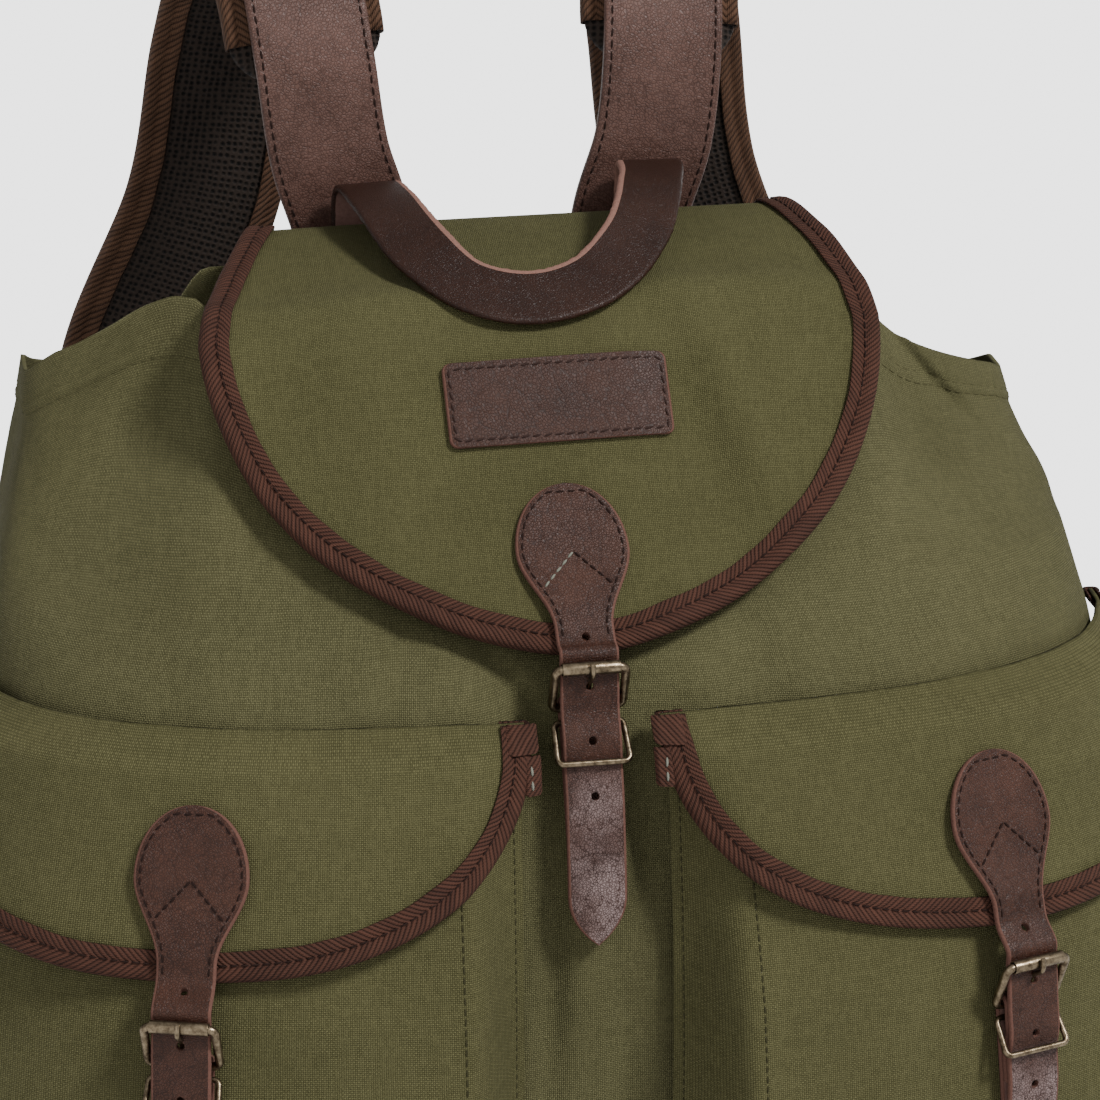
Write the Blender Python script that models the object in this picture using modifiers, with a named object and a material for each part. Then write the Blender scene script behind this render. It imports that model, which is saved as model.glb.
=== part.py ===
"""A canvas rucksack with a D-shaped lid, two front pockets, leather straps and roller buckles.

Lengths are in metres. +Z is up, the pockets face -Y, and +X is to the viewer's right.
The bag stands on its flat base at Z = 0, and its shoulder straps arch up behind it.
"""

import math
from functools import lru_cache

import bmesh
import bpy
import numpy as np
from mathutils import Vector

# Thicknesses
CANVAS = 0.0018
LID_CANVAS = 0.0020
STRAP_LEATHER = 0.0022
ANCHOR_LEATHER = 0.0020
HANDLE_LEATHER = 0.0028
PATCH_LEATHER = 0.0020
SHOULDER_LEATHER = 0.0040
PAD_THICKNESS = 0.0090
WEBBING = 0.0020
TAPE = 0.0009
GAP = 0.0003
CREASE_SNAP = 0.00004

# The middle of the whole object's depth, which is moved to Y = 0
DEPTH_CENTRE = 0.0312

# The body, a row for each section. Each row gives the height, the half width at the widest place, the
# depth coordinate of that place, the front and back centre lines, how square the front is,
# and by how much of its width the front is narrower than the sides.
BODY_COLUMNS = ("height", "half_width", "side_y", "front_y", "back_y", "squareness", "pinch")
BODY_SECTIONS = (
    (0.000, 0.168, 0.000, -0.078, 0.068, 3.0, 0.00),
    (0.010, 0.182, 0.000, -0.090, 0.076, 2.8, 0.00),
    (0.060, 0.194, 0.000, -0.099, 0.080, 2.6, 0.00),
    (0.130, 0.198, 0.000, -0.103, 0.082, 2.5, 0.00),
    (0.200, 0.197, 0.001, -0.099, 0.082, 2.5, 0.00),
    (0.250, 0.193, 0.004, -0.088, 0.082, 2.6, 0.01),
    (0.290, 0.185, 0.014, -0.051, 0.081, 3.0, 0.07),
    (0.330, 0.176, 0.030, -0.021, 0.079, 3.6, 0.19),
    (0.354, 0.172, 0.038, -0.004, 0.078, 4.0, 0.28),
)
BODY_ROWS = (0.0, 0.010, 0.022, 0.042, 0.090, 0.145, 0.185, 0.215, 0.236, 0.254, 0.272, 0.292, 0.312, 0.333,
             0.354)
BACK_SQUARENESS = 4.5
PINCH_ENDS = 0.6
FRONT_STEPS = 14
BACK_STEPS = 7
FRONT_CROWDING = 1.3

# The mouth's edge isn't level: it droops to the right, and the back wall rises under the lid
MOUTH_LEFT_RISE = 0.004
MOUTH_RIGHT_DROP = 0.013
MOUTH_BACK_RISE = 0.008
MOUTH_BACK_HALF_WIDTH = 0.104
MOUTH_LEVELLING_HEIGHT = 0.040

# Dents and folds of the body's front, a row each: centre, reach, lean and depth
FOLD_COLUMNS = ("x", "height", "reach_x", "reach_z", "lean_deg", "depth")
FRONT_FOLDS = (
    (0.000, 0.252, 0.034, 0.042, 0, 0.0090),
    (-0.021, 0.195, 0.010, 0.050, 0, 0.0060),
    (0.022, 0.212, 0.009, 0.030, 0, 0.0050),
    (-0.024, 0.250, 0.006, 0.024, -38, 0.0035),
    (0.060, 0.262, 0.060, 0.008, 76, 0.0020),
    (-0.128, 0.322, 0.012, 0.030, 35, 0.0050),
    (0.128, 0.318, 0.012, 0.030, -35, 0.0050),
)

# The lid, along its centre line from the seam on the back panel, over the top and down the front
LID_PROFILE = (
    (0.0802, 0.3440),
    (0.0803, 0.3640),
    (0.0730, 0.3738),
    (0.0600, 0.3770),
    (0.0260, 0.3720),
    (-0.0080, 0.3610),
    (-0.0410, 0.3140),
    (-0.0790, 0.2696),
)
LID_HALF_WIDTH = 0.1155
LID_ROOT_HALF_WIDTH = 0.090
LID_WIDEST_FROM_EDGE = 0.1163
LID_CORNER_LENGTH = 0.062
LID_ROUNDNESS = 0.58
LID_CREASES = (0.0, 0.025, 0.050, 0.072, 0.090, 0.103)
LID_DROOP_LEFT = 0.004
LID_DROOP_RIGHT = 0.007
TAPE_REACH = 0.0085
LID_TAPE_GAP = 0.0007
FLAP_TAPE_GAP = 0.0009

# The leather patch on the lid
PATCH_SIZE = (0.077, 0.029)
PATCH_CORNER = 0.003
PATCH_CENTRE = (0.0015, 0.028)
PATCH_TURN_DEG = -0.8

# Strap with a teardrop end, measured along it from its sewn tip
STRAP_WIDTH = 0.020
TEARDROP_WIDTH = 0.0385
TEARDROP_TIP_TO_WIDEST = 0.024
TEARDROP_LENGTH = 0.052
STRAP_POINT_LENGTH = 0.016
STRAP_HOLE = 0.0028
STRAP_HOLE_PITCH = 0.0185

# Down the strap's free end from the heel bar: how far, and how far its middle is off the cloth
STRAP_TAIL_ROWS = ((0.009, 0.0094), (0.017, 0.0072), (0.028, 0.0068), (0.044, 0.0045), (0.060, 0.0030),
                   (0.075, 0.0022))

# Roller buckle, about its heel bar
FRAME_WIRE = 0.0030
FRAME_WIDTH = 0.0268
FRAME_CORNER = 0.0017
ROLLER_DIAMETER = 0.0044
ROLLER_BORE = 0.0036
ROLLER_LENGTH = 0.0196
ROLLER_FORWARD = 0.0072
ROLLER_UP = 0.0160
HEEL_OUT = 0.0045
PRONG_WIRE = 0.0018
PRONG_CROSSING = 0.0095
KEEPER_WIRE = 0.0021
KEEPER_WIDTH = 0.0265
KEEPER_CORNER = 0.0017
KEEPER_DOWN = 0.0045
KEEPER_DROP = 0.0105
FOLD_RADIUS = 0.0028
ANCHOR_LENGTH = 0.042
ANCHOR_NECK = 0.0085
ANCHOR_NECK_DEPTH = 0.0052
ANCHOR_WIDTH = 0.0190
ANCHOR_SLOT = (0.0040, 0.0060)
LID_HEEL_HEIGHT = 0.2466

# Pockets, across from the centre seam and up from the base
POCKET_INNER_EDGE = 0.025
POCKET_WIDTH = 0.220
POCKET_FOOT = 0.020
POCKET_TOP = 0.238
POCKET_CORNER = 0.030
POCKET_GUSSET = 0.021
POCKET_FOOT_RISE = 0.028
POCKET_ON_BODY = 0.0014
POCKET_DEPTHS = ((0.020, 0.030), (0.060, 0.036), (0.110, 0.036), (0.160, 0.029), (0.200, 0.018), (0.238, 0.008))

# Pocket flaps, down from their seam
FLAP_SEAM = 0.250
FLAP_HALF_WIDTH = 0.1115
FLAP_LENGTH = 0.075
FLAP_FULLNESS = 2.2
FLAP_ROUNDNESS = 0.47
FLAP_REACH = 0.012
FLAP_CLEARANCE = 0.0054
FLAP_OVERHANG = 0.012
FLAP_GUSSET = 0.036
FLAP_END_LIFT = 0.0014
FLAP_CREASES_ACROSS = (0.0, 0.018, 0.036, 0.054, 0.070, 0.084, 0.095, 0.103)
FLAP_CREASES_ALONG = (0.004, 0.008, 0.012, 0.021, 0.031, 0.047)
POCKET_STRAP_START = 0.026
POCKET_HEEL_HEIGHT = 0.151

# The grab handle, a row for each place along it: centre, then the direction across it
HANDLE_WIDTH = 0.0190
HANDLE_ROUTE = (
    (-0.0460, 0.0831, 0.3440, 1.00, 0.00, 0.00),
    (-0.0460, 0.0831, 0.3650, 1.00, 0.00, 0.00),
    (-0.0463, 0.0785, 0.3835, 1.00, 0.00, 0.00),
    (-0.0450, 0.0520, 0.3890, 0.96, 0.25, 0.10),
    (-0.0370, 0.0150, 0.3835, 0.80, 0.46, 0.40),
    (-0.0085, 0.0000, 0.3722, 0.00, 0.83, 0.56),
    (0.0300, 0.0130, 0.3815, -0.80, 0.46, 0.40),
    (0.0490, 0.0500, 0.3905, -0.96, 0.25, 0.10),
    (0.0535, 0.0790, 0.3865, -1.00, 0.00, 0.00),
    (0.0540, 0.0831, 0.3650, -1.00, 0.00, 0.00),
    (0.0540, 0.0831, 0.3440, -1.00, 0.00, 0.00),
)

# Shoulder straps, half of the pair: from the back panel up over the arch and down behind
STRAP_LEATHER_WIDTH = 0.042
LEATHER_ROUTE = (
    (0.0465, 0.0872, 0.3300),
    (0.0490, 0.0872, 0.3680),
    (0.0575, 0.0866, 0.3980),
    (0.0615, 0.0910, 0.4300),
    (0.0640, 0.1070, 0.4565),
    (0.0655, 0.1330, 0.4660),
)
PAD_WIDTH = 0.058
PAD_ROUTE = (
    (0.0620, 0.0987, 0.4230),
    (0.0645, 0.1130, 0.4493),
    (0.0665, 0.1360, 0.4590),
    (0.0700, 0.1640, 0.4470),
    (0.0725, 0.1860, 0.4100),
    (0.0740, 0.1950, 0.3560),
    (0.0930, 0.1970, 0.2940),
    (0.1200, 0.1910, 0.2150),
    (0.1400, 0.1790, 0.1560),
)
WEBBING_WIDTH = 0.025
WEBBING_ROUTE = (
    (0.1440, 0.1640, 0.1190),
    (0.1440, 0.1260, 0.0860),
    (0.1430, 0.0920, 0.0640),
)
WEBBING_OFF_BACK = 0.0008
WEBBING_FOOT = ((0.1420, 0.052, 0.0030), (0.1420, 0.040, WEBBING_OFF_BACK), (0.1420, 0.022, WEBBING_OFF_BACK))
SLIDER_WIDTH = 0.032
SLIDER_HEIGHT = 0.017
SLIDER_WIRE = 0.0028
SLIDER_CORNER = 0.0017
LOOP_TAIL = 0.0145
TAB_SIZE = (0.044, 0.034)
TAB_FOOT = 0.012

# Colours as red, green, blue, then roughness and metalness
FINISHES = {
    "canvas": (0.105, 0.097, 0.043, 0.9, 0.0),
    "twill_tape": (0.070, 0.032, 0.022, 0.85, 0.0),
    "leather": (0.085, 0.052, 0.042, 0.5, 0.0),
    "spacer_mesh": (0.008, 0.006, 0.005, 0.95, 0.0),
    "webbing": (0.045, 0.022, 0.012, 0.85, 0.0),
    "antique_brass": (0.30, 0.25, 0.17, 0.35, 1.0),
}

SIDES = {"left": -1, "right": 1}


def clear_scene():
    for thing in list(bpy.data.objects):
        bpy.data.objects.remove(thing, do_unlink=True)


def new_collection(name):
    collection = bpy.data.collections.new(name)
    bpy.context.scene.collection.children.link(collection)
    return collection


def finish(name):
    material = bpy.data.materials.get(name)
    if material is None:
        red, green, blue, roughness, metalness = FINISHES[name]
        material = bpy.data.materials.new(name)
        material.use_nodes = True
        shader = material.node_tree.nodes["Principled BSDF"]
        shader.inputs["Base Color"].default_value = (red, green, blue, 1)
        shader.inputs["Roughness"].default_value = roughness
        shader.inputs["Metallic"].default_value = metalness
    return material


def add_piece(name, mesh, finish_name):
    piece = bpy.data.objects.new(name, mesh)
    piece.data.name = name
    piece.data.materials.clear()
    piece.data.materials.append(finish(finish_name))
    RUCKSACK.objects.link(piece)
    return piece


def smoothstep(value):
    value = min(max(value, 0.0), 1.0)
    return value * value * (3 - 2 * value)


def lerp(low, high, share):
    return low + (high - low) * share


def table_value(rows, place, column):
    """A table's column at a place in its first column, straight between rows."""
    places = [row[0] for row in rows]
    return float(np.interp(place, places, [row[column] for row in rows]))


def smooth_rows(rows, per_span):
    """Points on a smooth curve through the rows, per_span of them from each row to the next."""
    rows = [np.array(row, float) for row in rows]
    ends = [2 * rows[0] - rows[1]] + rows + [2 * rows[-1] - rows[-2]]
    points = []
    for before, start, end, after in zip(ends, ends[1:], ends[2:], ends[3:]):
        for step in range(per_span):
            t = step / per_span
            bend = 2 * start + (end - before) * t
            bend = bend + (2 * before - 5 * start + 4 * end - after) * t * t
            bend = bend + (3 * start - before - 3 * end + after) * t ** 3
            points.append(bend / 2)
    points.append(rows[-1])
    return points


def loft(rings, close_start, close_end):
    """A skin over closed rings that have the same number of points."""
    shape = bmesh.new()
    loops = [[shape.verts.new(point) for point in ring] for ring in rings]
    for lower, upper in zip(loops, loops[1:]):
        for i, vertex in enumerate(lower):
            j = (i + 1) % len(lower)
            shape.faces.new((vertex, lower[j], upper[j], upper[i]))
    if close_start:
        shape.faces.new(reversed(loops[0]))
    if close_end:
        shape.faces.new(loops[-1])
    bmesh.ops.recalc_face_normals(shape, faces=shape.faces)
    return shape


def to_mesh(shape, name):
    mesh = bpy.data.meshes.new(name)
    shape.to_mesh(mesh)
    shape.free()
    return mesh


# Body surface


@lru_cache(maxsize=None)
def section(height):
    """The body's half section at a height: its front and back halves as points with their lengths."""
    heights = [row[0] for row in BODY_SECTIONS]
    rows = np.array(smooth_rows(BODY_SECTIONS, 8))
    clipped = min(max(height, heights[0]), heights[-1])
    values = [np.interp(clipped, rows[:, 0], rows[:, column]) for column in range(rows.shape[1])]
    _, half_width, side_y, front_y, back_y, squareness, pinch = values
    turn = np.linspace(0, math.pi / 2, 241)
    sine, cosine = np.sin(turn), np.cos(turn)
    narrowing = np.clip(cosine / PINCH_ENDS, 0, 1)
    narrowing = 1 - pinch * narrowing ** 2 * (3 - 2 * narrowing)
    front_x = half_width * sine ** (2 / squareness) * narrowing
    front = side_y + (front_y - side_y) * cosine ** (2 / squareness)
    back_x = half_width * cosine ** (2 / BACK_SQUARENESS)
    back = side_y + (back_y - side_y) * sine ** (2 / BACK_SQUARENESS)
    halves = []
    for xs, ys in ((front_x, front), (back_x, back)):
        lengths = np.concatenate([[0], np.cumsum(np.hypot(np.diff(xs), np.diff(ys)))])
        halves.append((xs, ys, lengths))
    return halves


def half_point(around, height):
    """A point of the right half: around runs from 0, the front centre, past 1, the side, to 2, the back."""
    xs, ys, lengths = section(height)[0 if around < 1 else 1]
    place = (around if around < 1 else around - 1) * lengths[-1]
    return np.interp(place, lengths, xs), np.interp(place, lengths, ys)


def on_body(around, height, out):
    """A point on the body's skin, moved out along its level normal. Around is negative on the left."""
    side = -1 if around < 0 else 1
    around = abs(around)
    x, y = half_point(around, height)
    step = 0.01
    x0, y0 = half_point(max(around - step, 0), height)
    x1, y1 = half_point(min(around + step, 2), height)
    if around < step:
        x0, y0 = -x1, y1
    length = math.hypot(x1 - x0, y1 - y0)
    normal_x, normal_y = (y1 - y0) / length, -(x1 - x0) / length
    return Vector((side * (x + normal_x * out), y + normal_y * out, height))


FRONT_ARC = float(section(0.2)[0][2][-1])


def fold_depth(x, height):
    """How far the folds push the front in at a place."""
    depth = 0.0
    for fold_x, fold_height, reach_x, reach_z, lean, full in FRONT_FOLDS:
        turn = math.radians(lean)
        across = (x - fold_x) * math.cos(turn) - (height - fold_height) * math.sin(turn)
        along = (x - fold_x) * math.sin(turn) + (height - fold_height) * math.cos(turn)
        depth += full * math.exp(-((across / reach_x) ** 2) - (along / reach_z) ** 2)
    return depth


def mouth_shift(x, y):
    """How much higher or lower the mouth's edge is at a place round it."""
    outward = smoothstep((abs(x) - 0.06) / 0.09)
    shift = (MOUTH_LEFT_RISE if x < 0 else -MOUTH_RIGHT_DROP) * outward
    rear = smoothstep((y - 0.060) / 0.012) * smoothstep((MOUTH_BACK_HALF_WIDTH + 0.010 - abs(x)) / 0.020)
    return lerp(shift, MOUTH_BACK_RISE, rear)


def body_vertex(around, height):
    point = on_body(around, height, 0.0)
    if abs(around) < 1:
        point.y += fold_depth(point.x, height)
    near_mouth = (height - (BODY_ROWS[-1] - MOUTH_LEVELLING_HEIGHT)) / MOUTH_LEVELLING_HEIGHT
    point.z += max(near_mouth, 0.0) * mouth_shift(point.x, point.y)
    return point


def body_around_values():
    """Places round a section, from the front centre to the right and on round to the left."""
    front = [(step / FRONT_STEPS) ** FRONT_CROWDING for step in range(FRONT_STEPS)]
    back = [1 + step / BACK_STEPS for step in range(BACK_STEPS + 1)]
    right = front + back
    left = [-value for value in reversed(right[1:-1])]
    return right + left


def make_body():
    around_values = body_around_values()
    rings = [[body_vertex(around, height) for around in around_values] for height in BODY_ROWS]
    body = add_piece("bag_body", to_mesh(loft(rings, True, False), "bag_body"), "canvas")
    wall = body.modifiers.new("wall", "SOLIDIFY")
    wall.thickness = CANVAS
    wall.offset = -1
    body.data.shade_smooth()


# Flat sheets: cut, creased and bent


def flat_plate(outline, thickness):
    """A flat plate in its own plane, from an outline of points across and along."""
    enlarged = 1000.0
    curve = bpy.data.curves.new("pattern", "CURVE")
    curve.dimensions = "2D"
    curve.fill_mode = "BOTH"
    curve.extrude = thickness / 2 * enlarged
    spline = curve.splines.new("POLY")
    spline.points.add(len(outline) - 1)
    for point, (across, along) in zip(spline.points, outline):
        point.co = (across * enlarged, along * enlarged, 0, 1)
    spline.use_cyclic_u = True
    pattern = bpy.data.objects.new("pattern", curve)
    RUCKSACK.objects.link(pattern)
    seen = pattern.evaluated_get(bpy.context.evaluated_depsgraph_get())
    mesh = bpy.data.meshes.new_from_object(seen)
    bpy.data.objects.remove(pattern, do_unlink=True)
    plate = bmesh.new()
    plate.from_mesh(mesh)
    bpy.data.meshes.remove(mesh)
    bmesh.ops.remove_doubles(plate, verts=plate.verts, dist=0.001)
    bmesh.ops.dissolve_limit(plate, angle_limit=0.002, verts=plate.verts, edges=plate.edges)
    bmesh.ops.scale(plate, vec=Vector((1, 1, 1)) / enlarged, verts=plate.verts)
    return plate


def crease(sheet, creases_across, creases_along):
    """Cuts a flat sheet's faces along the lines where it will bend."""
    for normal, places in (((1, 0, 0), creases_across), ((0, 1, 0), creases_along)):
        for place in places:
            geometry = sheet.verts[:] + sheet.edges[:] + sheet.faces[:]
            centre = Vector(normal) * place
            bmesh.ops.bisect_plane(sheet, geom=geometry, dist=CREASE_SNAP, plane_co=centre, plane_no=normal)
    many_sided = [face for face in sheet.faces if len(face.verts) > 4]
    bmesh.ops.triangulate(sheet, faces=many_sided, ngon_method="EAR_CLIP")


def cut_sheet(outline, thickness, creases_across, creases_along):
    """A flat sheet cut from an outline and creased where it will bend."""
    sheet = flat_plate(outline, thickness)
    crease(sheet, creases_across, creases_along)
    bmesh.ops.recalc_face_normals(sheet, faces=sheet.faces)
    return sheet


def cut_punched_strip(right_edge, holes, thickness, creases_along):
    """A strip with holes on its middle line: its right half is cut out, creased and mirrored."""
    outline = list(right_edge)
    for hole in sorted(holes, key=lambda points: -points[0][1]):
        outline += hole
    half = flat_plate(outline, thickness)
    crease(half, [], creases_along)
    on_middle = [face for face in half.faces if all(abs(vertex.co.x) < CREASE_SNAP for vertex in face.verts)]
    bmesh.ops.delete(half, geom=on_middle, context="FACES")
    geometry = half.verts[:] + half.edges[:] + half.faces[:]
    bmesh.ops.mirror(half, geom=geometry, axis="X", merge_dist=CREASE_SNAP)
    bmesh.ops.recalc_face_normals(half, faces=half.faces)
    return half


def bend_sheet(sheet, place, name, finish_name):
    """Moves a flat sheet's points to where they lie on the bag. Place takes across, along and off."""
    for vertex in sheet.verts:
        across, along, off = vertex.co
        vertex.co = place(across, along, off)
    bmesh.ops.triangulate(sheet, faces=sheet.faces, quad_method="SHORT_EDGE")
    bmesh.ops.recalc_face_normals(sheet, faces=sheet.faces)
    return add_piece(name, to_mesh(sheet, name), finish_name)


class Ribbon:
    """A strip's middle line, with the direction across it and the direction it faces."""

    def __init__(self, points, acrosses):
        self.points = [Vector(point) for point in points]
        self.lengths = [0.0]
        for start, end in zip(self.points, self.points[1:]):
            self.lengths.append(self.lengths[-1] + (end - start).length)
        self.acrosses = []
        self.normals = []
        for i, across in enumerate(acrosses):
            ahead = self.points[min(i + 1, len(points) - 1)]
            behind = self.points[max(i - 1, 0)]
            tangent = (ahead - behind).normalized()
            across = Vector(across)
            across = (across - tangent * across.dot(tangent)).normalized()
            self.acrosses.append(across)
            self.normals.append(tangent.cross(across).normalized())

    def at(self, along):
        along = min(max(along, 0.0), self.lengths[-1])
        i = 0
        while i < len(self.lengths) - 2 and self.lengths[i + 1] < along:
            i += 1
        share = (along - self.lengths[i]) / (self.lengths[i + 1] - self.lengths[i])
        return tuple(rows[i].lerp(rows[i + 1], share) for rows in (self.points, self.acrosses, self.normals))

    def place(self, across, along, off):
        point, across_direction, normal = self.at(along)
        return point + across_direction * across + normal * off

    def creases(self):
        return self.lengths[1:-1]

    def length(self):
        return self.lengths[-1]


def rounded_box(width, start, end, corner, steps=3):
    """The outline of a strip with rounded corners, from one place along it to another."""
    outline = []
    corners = (
        (width / 2 - corner, end - corner, 0),
        (-width / 2 + corner, end - corner, 90),
        (-width / 2 + corner, start + corner, 180),
        (width / 2 - corner, start + corner, 270),
    )
    for across, along, first in corners:
        for step in range(steps + 1):
            turn = math.radians(first + 90 * step / steps)
            outline.append((across + corner * math.cos(turn), along + corner * math.sin(turn)))
    return outline


def half_hole(along, diameter=STRAP_HOLE, stretch=0.0, sides=6):
    """The right half of a hole on a strip's middle line, from its far end back to its near end."""
    hole = []
    for step in range(sides // 2 + 1):
        turn = math.pi / 2 - 2 * math.pi * step / sides
        ends = stretch / 2 * (1 if step < sides / 4 else -1)
        across = 0.0 if step in (0, sides // 2) else diameter / 2 * math.cos(turn)
        hole.append((across, along + diameter / 2 * math.sin(turn) + ends))
    return hole


def half_slot(start, end, width):
    """The right half of a square-ended slot on a strip's middle line."""
    corner = width / 4
    return [(0.0, end), (width / 2 - corner, end), (width / 2, end - corner), (width / 2, start + corner),
            (width / 2 - corner, start), (0.0, start)]


# Lid


def lid_ribbon():
    points = [Vector((0, y, z)) for y, z in smooth_rows(LID_PROFILE, 2)]
    return Ribbon(points, [(1, 0, 0)] * len(points))


def lid_half_width(along, length):
    """The lid's half width: rounded corners at its seam, widest over the top, round at its front."""
    from_widest = along - (length - LID_WIDEST_FROM_EDGE)
    if from_widest < 0:
        share = min(-from_widest / LID_CORNER_LENGTH, 1.0)
        return lerp(LID_HALF_WIDTH, LID_ROOT_HALF_WIDTH, share ** 2.2)
    share = min(from_widest / LID_WIDEST_FROM_EDGE, 1.0)
    return LID_HALF_WIDTH * max(1 - share ** 2, 0.0) ** LID_ROUNDNESS


def creased_outline(half_width, length, creases_across, creases_along):
    """A cut edge, down its right side and up its left, with a point wherever a crease meets it."""
    fine = np.linspace(0, length, 2001)
    widths = np.array([half_width(along) for along in fine])
    widest = int(np.argmax(widths))
    alongs = {0.0, *creases_along}
    for across in creases_across:
        if across > 0:
            alongs.add(float(np.interp(-across, -widths[widest:], fine[widest:])))
    right = [(half_width(along), along) for along in sorted(alongs)]
    left = [(-across, along) for across, along in reversed(right)]
    return right + [(0.0, length)] + left


def lid_place(ribbon):
    def place(across, along, off):
        share = abs(across) / LID_HALF_WIDTH
        droop = (LID_DROOP_LEFT if across < 0 else LID_DROOP_RIGHT) * share ** 3
        rear = smoothstep((along - 0.020) / 0.040)
        return ribbon.place(across, along, off - droop * rear)

    return place


def between_creases(place, acrosses, alongs):
    """The same placing, but straight from each crease to the next, as a creased sheet lies."""

    def straight_place(across, along, off):
        i = min(max(int(np.searchsorted(acrosses, across)), 1), len(acrosses) - 1)
        j = min(max(int(np.searchsorted(alongs, along)), 1), len(alongs) - 1)
        share_across = (across - acrosses[i - 1]) / (acrosses[i] - acrosses[i - 1])
        share_along = (along - alongs[j - 1]) / (alongs[j] - alongs[j - 1])
        near = place(acrosses[i - 1], alongs[j - 1], off).lerp(place(acrosses[i], alongs[j - 1], off), share_across)
        far = place(acrosses[i - 1], alongs[j], off).lerp(place(acrosses[i], alongs[j], off), share_across)
        return near.lerp(far, share_along)

    return straight_place


def edge_normals(outline):
    """The directions into the sheet at each point of an outline that runs down the right and up the left."""
    normals = []
    for i, point in enumerate(outline):
        ahead = Vector(outline[min(i + 1, len(outline) - 1)])
        behind = Vector(outline[max(i - 1, 0)])
        run = (ahead - behind).normalized()
        normals.append(Vector((-run.y, run.x)))
    return normals


def mirrored(values):
    return sorted({-value for value in values} | set(values))


def bind_edge(outline, place, sheet_thickness, tape_gap, name):
    """Tape folded over a sheet's edge: a channel that runs along it."""
    inner = sheet_thickness / 2 + tape_gap
    outer = inner + TAPE
    channel = (
        (TAPE_REACH, -outer),
        (TAPE_REACH / 2, -outer),
        (-tape_gap - TAPE, -outer),
        (-tape_gap - TAPE, outer),
        (TAPE_REACH / 2, outer),
        (TAPE_REACH, outer),
        (TAPE_REACH, inner),
        (TAPE_REACH / 2, inner),
        (-tape_gap, inner),
        (-tape_gap, -inner),
        (TAPE_REACH / 2, -inner),
        (TAPE_REACH, -inner),
    )
    rings = []
    for point, inward in zip(outline, edge_normals(outline)):
        ring = []
        for reach, off in channel:
            across, along = Vector(point) + inward * reach
            ring.append(place(across, along, off))
        rings.append(ring)
    add_piece(name, to_mesh(loft(rings, True, True), name), "twill_tape")


def make_lid():
    ribbon = lid_ribbon()
    length = ribbon.length()
    place = lid_place(ribbon)
    outline = creased_outline(lambda along: lid_half_width(along, length), length, LID_CREASES, ribbon.creases())
    creases_across = mirrored(LID_CREASES)
    sheet = cut_sheet(outline, LID_CANVAS, creases_across, ribbon.creases())
    place = between_creases(place, [-LID_HALF_WIDTH] + creases_across + [LID_HALF_WIDTH], ribbon.lengths)
    bend_sheet(sheet, place, "lid", "canvas")
    bound = [point for point in outline if point[1] >= 0.032]
    bind_edge(bound, place, LID_CANVAS, LID_TAPE_GAP, "lid_binding")


def make_patch():
    ribbon = lid_ribbon()
    lift = LID_CANVAS / 2 + GAP + PATCH_LEATHER / 2
    centre_along = ribbon.length() - LID_WIDEST_FROM_EDGE + PATCH_CENTRE[1]
    width, height = PATCH_SIZE
    outline = rounded_box(width, -height / 2, height / 2, PATCH_CORNER)
    turn = math.radians(PATCH_TURN_DEG)
    turned = []
    for across, along in outline:
        turned.append((across * math.cos(turn) - along * math.sin(turn) + PATCH_CENTRE[0],
                       across * math.sin(turn) + along * math.cos(turn) + centre_along))
    creases = [place for place in ribbon.creases() if abs(place - centre_along) < height]
    sheet = cut_sheet(turned, PATCH_LEATHER, [], creases)
    place = lid_place(ribbon)
    bend_sheet(sheet, lambda across, along, off: place(across, along, off + lift), "label_patch", "leather")


# Straps, buckles and their anchors


class Seat:
    """Where a buckle sits: a place on the bag, the way it faces, and the surface behind it."""

    def __init__(self, base, outward, surface, heel_height):
        self.base = Vector(base)
        self.outward = Vector(outward).normalized()
        self.side = Vector((-self.outward.y, self.outward.x, 0))
        self.surface = surface
        self.heel_height = heel_height

    def world(self, across, out, height):
        return self.base + self.side * across + self.outward * out + Vector((0, 0, height))

    def out_of(self, point):
        return (Vector(point) - self.base).dot(self.outward)

    def backing(self, height):
        """How far out the surface behind is at a height."""
        return self.out_of(self.surface(height))


def lid_seat():
    def surface(height):
        point = on_body(0.0, height, 0.0)
        point.y += fold_depth(0.0, height)
        return point

    at_heel = surface(LID_HEEL_HEIGHT)
    return Seat((0, at_heel.y, 0), (0, -1, 0), surface, LID_HEEL_HEIGHT)


def pocket_around(side):
    return side * (POCKET_INNER_EDGE + POCKET_WIDTH / 2) / FRONT_ARC


def pocket_seat(side):
    around = pocket_around(side)

    def surface(height):
        return on_body(around, height, pocket_out(POCKET_WIDTH / 2, height) + CANVAS)

    at_heel = surface(POCKET_HEEL_HEIGHT)
    outward = on_body(around, POCKET_HEEL_HEIGHT, 1.0) - on_body(around, POCKET_HEEL_HEIGHT, 0.0)
    return Seat((at_heel.x, at_heel.y, 0), outward, surface, POCKET_HEEL_HEIGHT)


def local_ribbon(seat, rows):
    """A ribbon from rows of out and height at a seat."""
    points = [seat.world(0, out, height) for out, height in rows]
    return Ribbon(points, [seat.side] * len(points))


def tail_rows(seat):
    """The strap's free end below the heel bar, clear of the anchor strap beneath it."""
    heel = seat.heel_height
    rows = []
    for down, stand_off in STRAP_TAIL_ROWS:
        rows.append((max(seat.backing(heel - down) + stand_off, HEEL_OUT + 0.0056), heel - down))
    return rows


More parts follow.
